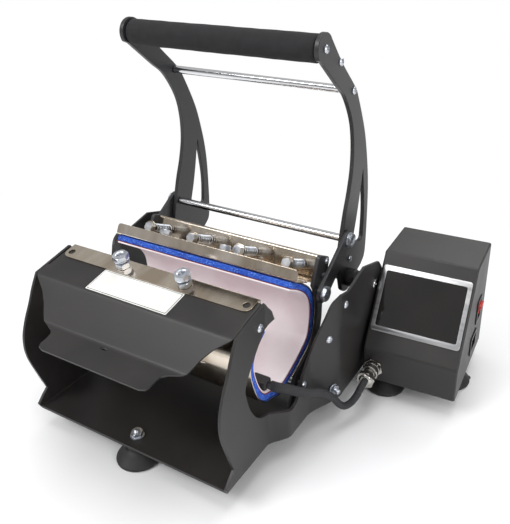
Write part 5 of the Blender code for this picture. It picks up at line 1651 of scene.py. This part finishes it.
def makeTube(name, points, sides, shape):
    # rings carried along the path without twist, with a map that runs along and around
    path = [Vector(point) for point in points]
    side = Vector((0, 0, 1)).cross(path[1] - path[0]).normalized()
    vertices, faces, run = [], [], [0]
    for i, point in enumerate(path):
        along = (path[min(i + 1, len(path) - 1)] - path[max(i - 1, 0)]).normalized()
        side = (side - along * side.dot(along)).normalized()
        up = along.cross(side)
        if i:
            run.append(run[-1] + (point - path[i - 1]).length)
        wide, tall = shape(i / (len(path) - 1))
        vertices += [point + side * cos(2 * pi * j / sides) * wide + up * sin(2 * pi * j / sides) * tall
                     for j in range(sides)]
    for i in range(len(path) - 1):
        for j in range(sides):
            k = (j + 1) % sides
            faces.append((i * sides + j, i * sides + k, (i + 1) * sides + k, (i + 1) * sides + j))
    faces += [tuple(reversed(range(sides))), tuple((len(path) - 1) * sides + j for j in range(sides))]
    mesh = bpy.data.meshes.new(name)
    mesh.from_pydata(vertices, [], faces)
    chart = mesh.uv_layers.new(name="sleeve")
    for face in mesh.polygons[:-2]:
        i, j = divmod(face.index, sides)
        for loop, (ring, turn) in zip(face.loop_indices, ((i, j), (i, j + 1), (i + 1, j + 1), (i + 1, j))):
            chart.data[loop].uv = (run[ring], turn / sides)
    thing = bpy.data.objects.new(name, mesh)
    bpy.context.collection.objects.link(thing)
    use(thing)
    editAll("FACE")
    bpy.ops.mesh.normals_make_consistent(inside=False)
    leaveEdit()
    return smooth(thing, 50), run[-1]


def makeCable(holder):
    place, axis = connectorLine()
    end = place + axis * (plug["start"] + plug["length"] + layout["clearance"])
    before = end + axis * cable["straight"]
    route = [(x, *seat(y, z)) for x, y, z in cable["route"]] + [tuple(before)]
    start = (cable["start"], *route[0][1:])
    points = [start] + through(route, 6) + [tuple(before + (end - before) * i / 4) for i in range(1, 5)]
    radius, (wide, tall), (rise, fall) = cable["radius"], cable["flat"], cable["flatEnds"]

    def shape(share):
        # flat near the mat, round at its very start and towards the plug
        flatness = (1 - eased((share - cable["flatUntil"]) / fall)) * eased(share / rise)
        return (radius * (1 + (wide - 1) * flatness), radius * (1 + (tall - 1) * flatness))

    lead, length = makeTube("heater_cable", points, cable["sides"], shape)
    dress(lead, "heater_cable", sleeve, "root")
    cover = bolster(cable["coverLow"], cable["coverHigh"], *cable["coverEdges"], consoleFrame.inverted())
    dress(cover, "terminal_cover", rubber, "root")


makeConnector()
makeCable(makePlug())

clip = {"place": (0.163, 0.020), "head": (0.005, 0.004, 0.9, 0.95), "thread": (0.003, 0.0035, 0.009),
        "washer": [(-0.0001, 0.0058), (0.0001, 0.0061), (0.0009, 0.0061), (0.001, 0.0058)], "lift": 0.0003}


def makeClip():
    y, z = clip["place"]
    bolt = joinAll([hexBlock(*clip["head"]), thread(*clip["thread"]), turned(clip["washer"], 36)])
    out = (1, -flare(y, y + 0.005), 0)
    bolt.data.transform(pointed((baseHalf(y) + clip["lift"], *seat(y, z)), out, 0.3))
    dress(bolt, "clip_bolt", zinc, "root")


makeClip()
print("cable laid")


# Floor, lights and world

studio = {
    "floor": {"tones": ((246, 246, 247), (249, 249, 250)), "patch": 2.0, "rough": (0.7, 0.8), "grain": 0.01,
              "depth": 0.00001},
    "clear": (0.30, 0.85),
    "lamps": {"key": ((-1.1, -1.6, 2.1), 1.3, 34), "fill": ((1.9, -0.5, 1.0), 1.1, 13),
              "back": ((0.2, 1.9, 1.7), 1.2, 12), "top": ((0.1, 0.1, 2.4), 1.4, 17)},
    "aim": (0.05, 0.09, 0.15),
    "world": 0.62,
    "sky": ((0.42, (0.22, 0.22, 0.23, 1)), (0.95, (1.0, 1.0, 1.0, 1)), (0.56, (0.62, 0.62, 0.63, 1))),
}


def makeFloor():
    deselect()
    bpy.ops.mesh.primitive_plane_add(size=14)
    floor = use(bpy.context.active_object)
    editAll("FACE")
    bpy.ops.mesh.subdivide(number_cuts=6)
    leaveEdit()
    floor.name = "studio_floor"
    material = finish("pale studio floor", studio["floor"])
    floor.data.materials.append(material)
    # far from the press the floor shows plain white, and close to it it keeps the shadow
    tree = material.node_tree
    reach = addNode(tree, "VectorMath", {0: tree.nodes["Texture Coordinate"].outputs["Object"]})
    reach.operation = "LENGTH"
    edge = addNode(tree, "MapRange", {"Value": reach.outputs["Value"], "From Min": studio["clear"][0],
                                      "From Max": studio["clear"][1]})
    edge.interpolation_type = "SMOOTHSTEP"
    ray = addNode(tree, "LightPath", {})
    seen = ray.outputs["Is Camera Ray"]
    for kind in ("Is Glossy Ray", "Is Transmission Ray"):
        either = addNode(tree, "Math", {0: seen, 1: ray.outputs[kind]})
        either.operation = "MAXIMUM"
        seen = either.outputs["Value"]
    share = addNode(tree, "Math", {0: edge.outputs["Result"], 1: seen})
    share.operation = "MULTIPLY"
    mixer = addNode(tree, "MixShader", {"Fac": share.outputs["Value"],
                                        1: tree.nodes["Principled BSDF"].outputs["BSDF"],
                                        2: addNode(tree, "Emission", {}).outputs["Emission"]})
    tree.links.new(mixer.outputs["Shader"], tree.nodes["Material Output"].inputs["Surface"])
    deselect()


def makeLights():
    for name, (place, size, power) in studio["lamps"].items():
        aim = (Vector(studio["aim"]) - Vector(place)).to_track_quat("-Z", "Y").to_euler()
        bpy.ops.object.light_add(type="AREA", location=place, rotation=aim)
        lamp = bpy.context.active_object
        lamp.name = name + "_softbox"
        lamp.data.shape = "RECTANGLE"
        lamp.data.size = size
        lamp.data.size_y = size * 0.7
        lamp.data.energy = power


def makeWorld():
    # a grey sky that brightens upwards, which the camera sees as plain white
    world = bpy.data.worlds.new("studio")
    bpy.context.scene.world = world
    world.use_nodes = True
    tree = world.node_tree
    back = tree.nodes["Background"]
    back.inputs["Strength"].default_value = studio["world"]
    split = addNode(tree, "SeparateXYZ", {"Vector": addNode(tree, "TexCoord", {}).outputs["Generated"]})
    span = addNode(tree, "MapRange", {"Value": split.outputs["Z"], "From Min": -1})
    sky = addNode(tree, "ValToRGB", {"Fac": span.outputs["Result"]})
    low, high, (place, colour) = studio["sky"]
    for element, (position, tint) in zip(sky.color_ramp.elements, (low, high)):
        element.position = position
        element.color = tint
    sky.color_ramp.elements.new(place).color = colour
    tree.links.new(sky.outputs["Color"], back.inputs["Color"])
    plain = addNode(tree, "Background", {"Color": (1, 1, 1, 1)})
    ray = addNode(tree, "LightPath", {})
    mixer = addNode(tree, "MixShader", {"Fac": ray.outputs["Is Camera Ray"], 1: back.outputs["Background"],
                                        2: plain.outputs["Background"]})
    tree.links.new(mixer.outputs["Shader"], tree.nodes["World Output"].inputs["Surface"])


makeFloor()
makeLights()
makeWorld()
bpy.context.scene.view_settings.view_transform = "Standard"

print("studio lit")
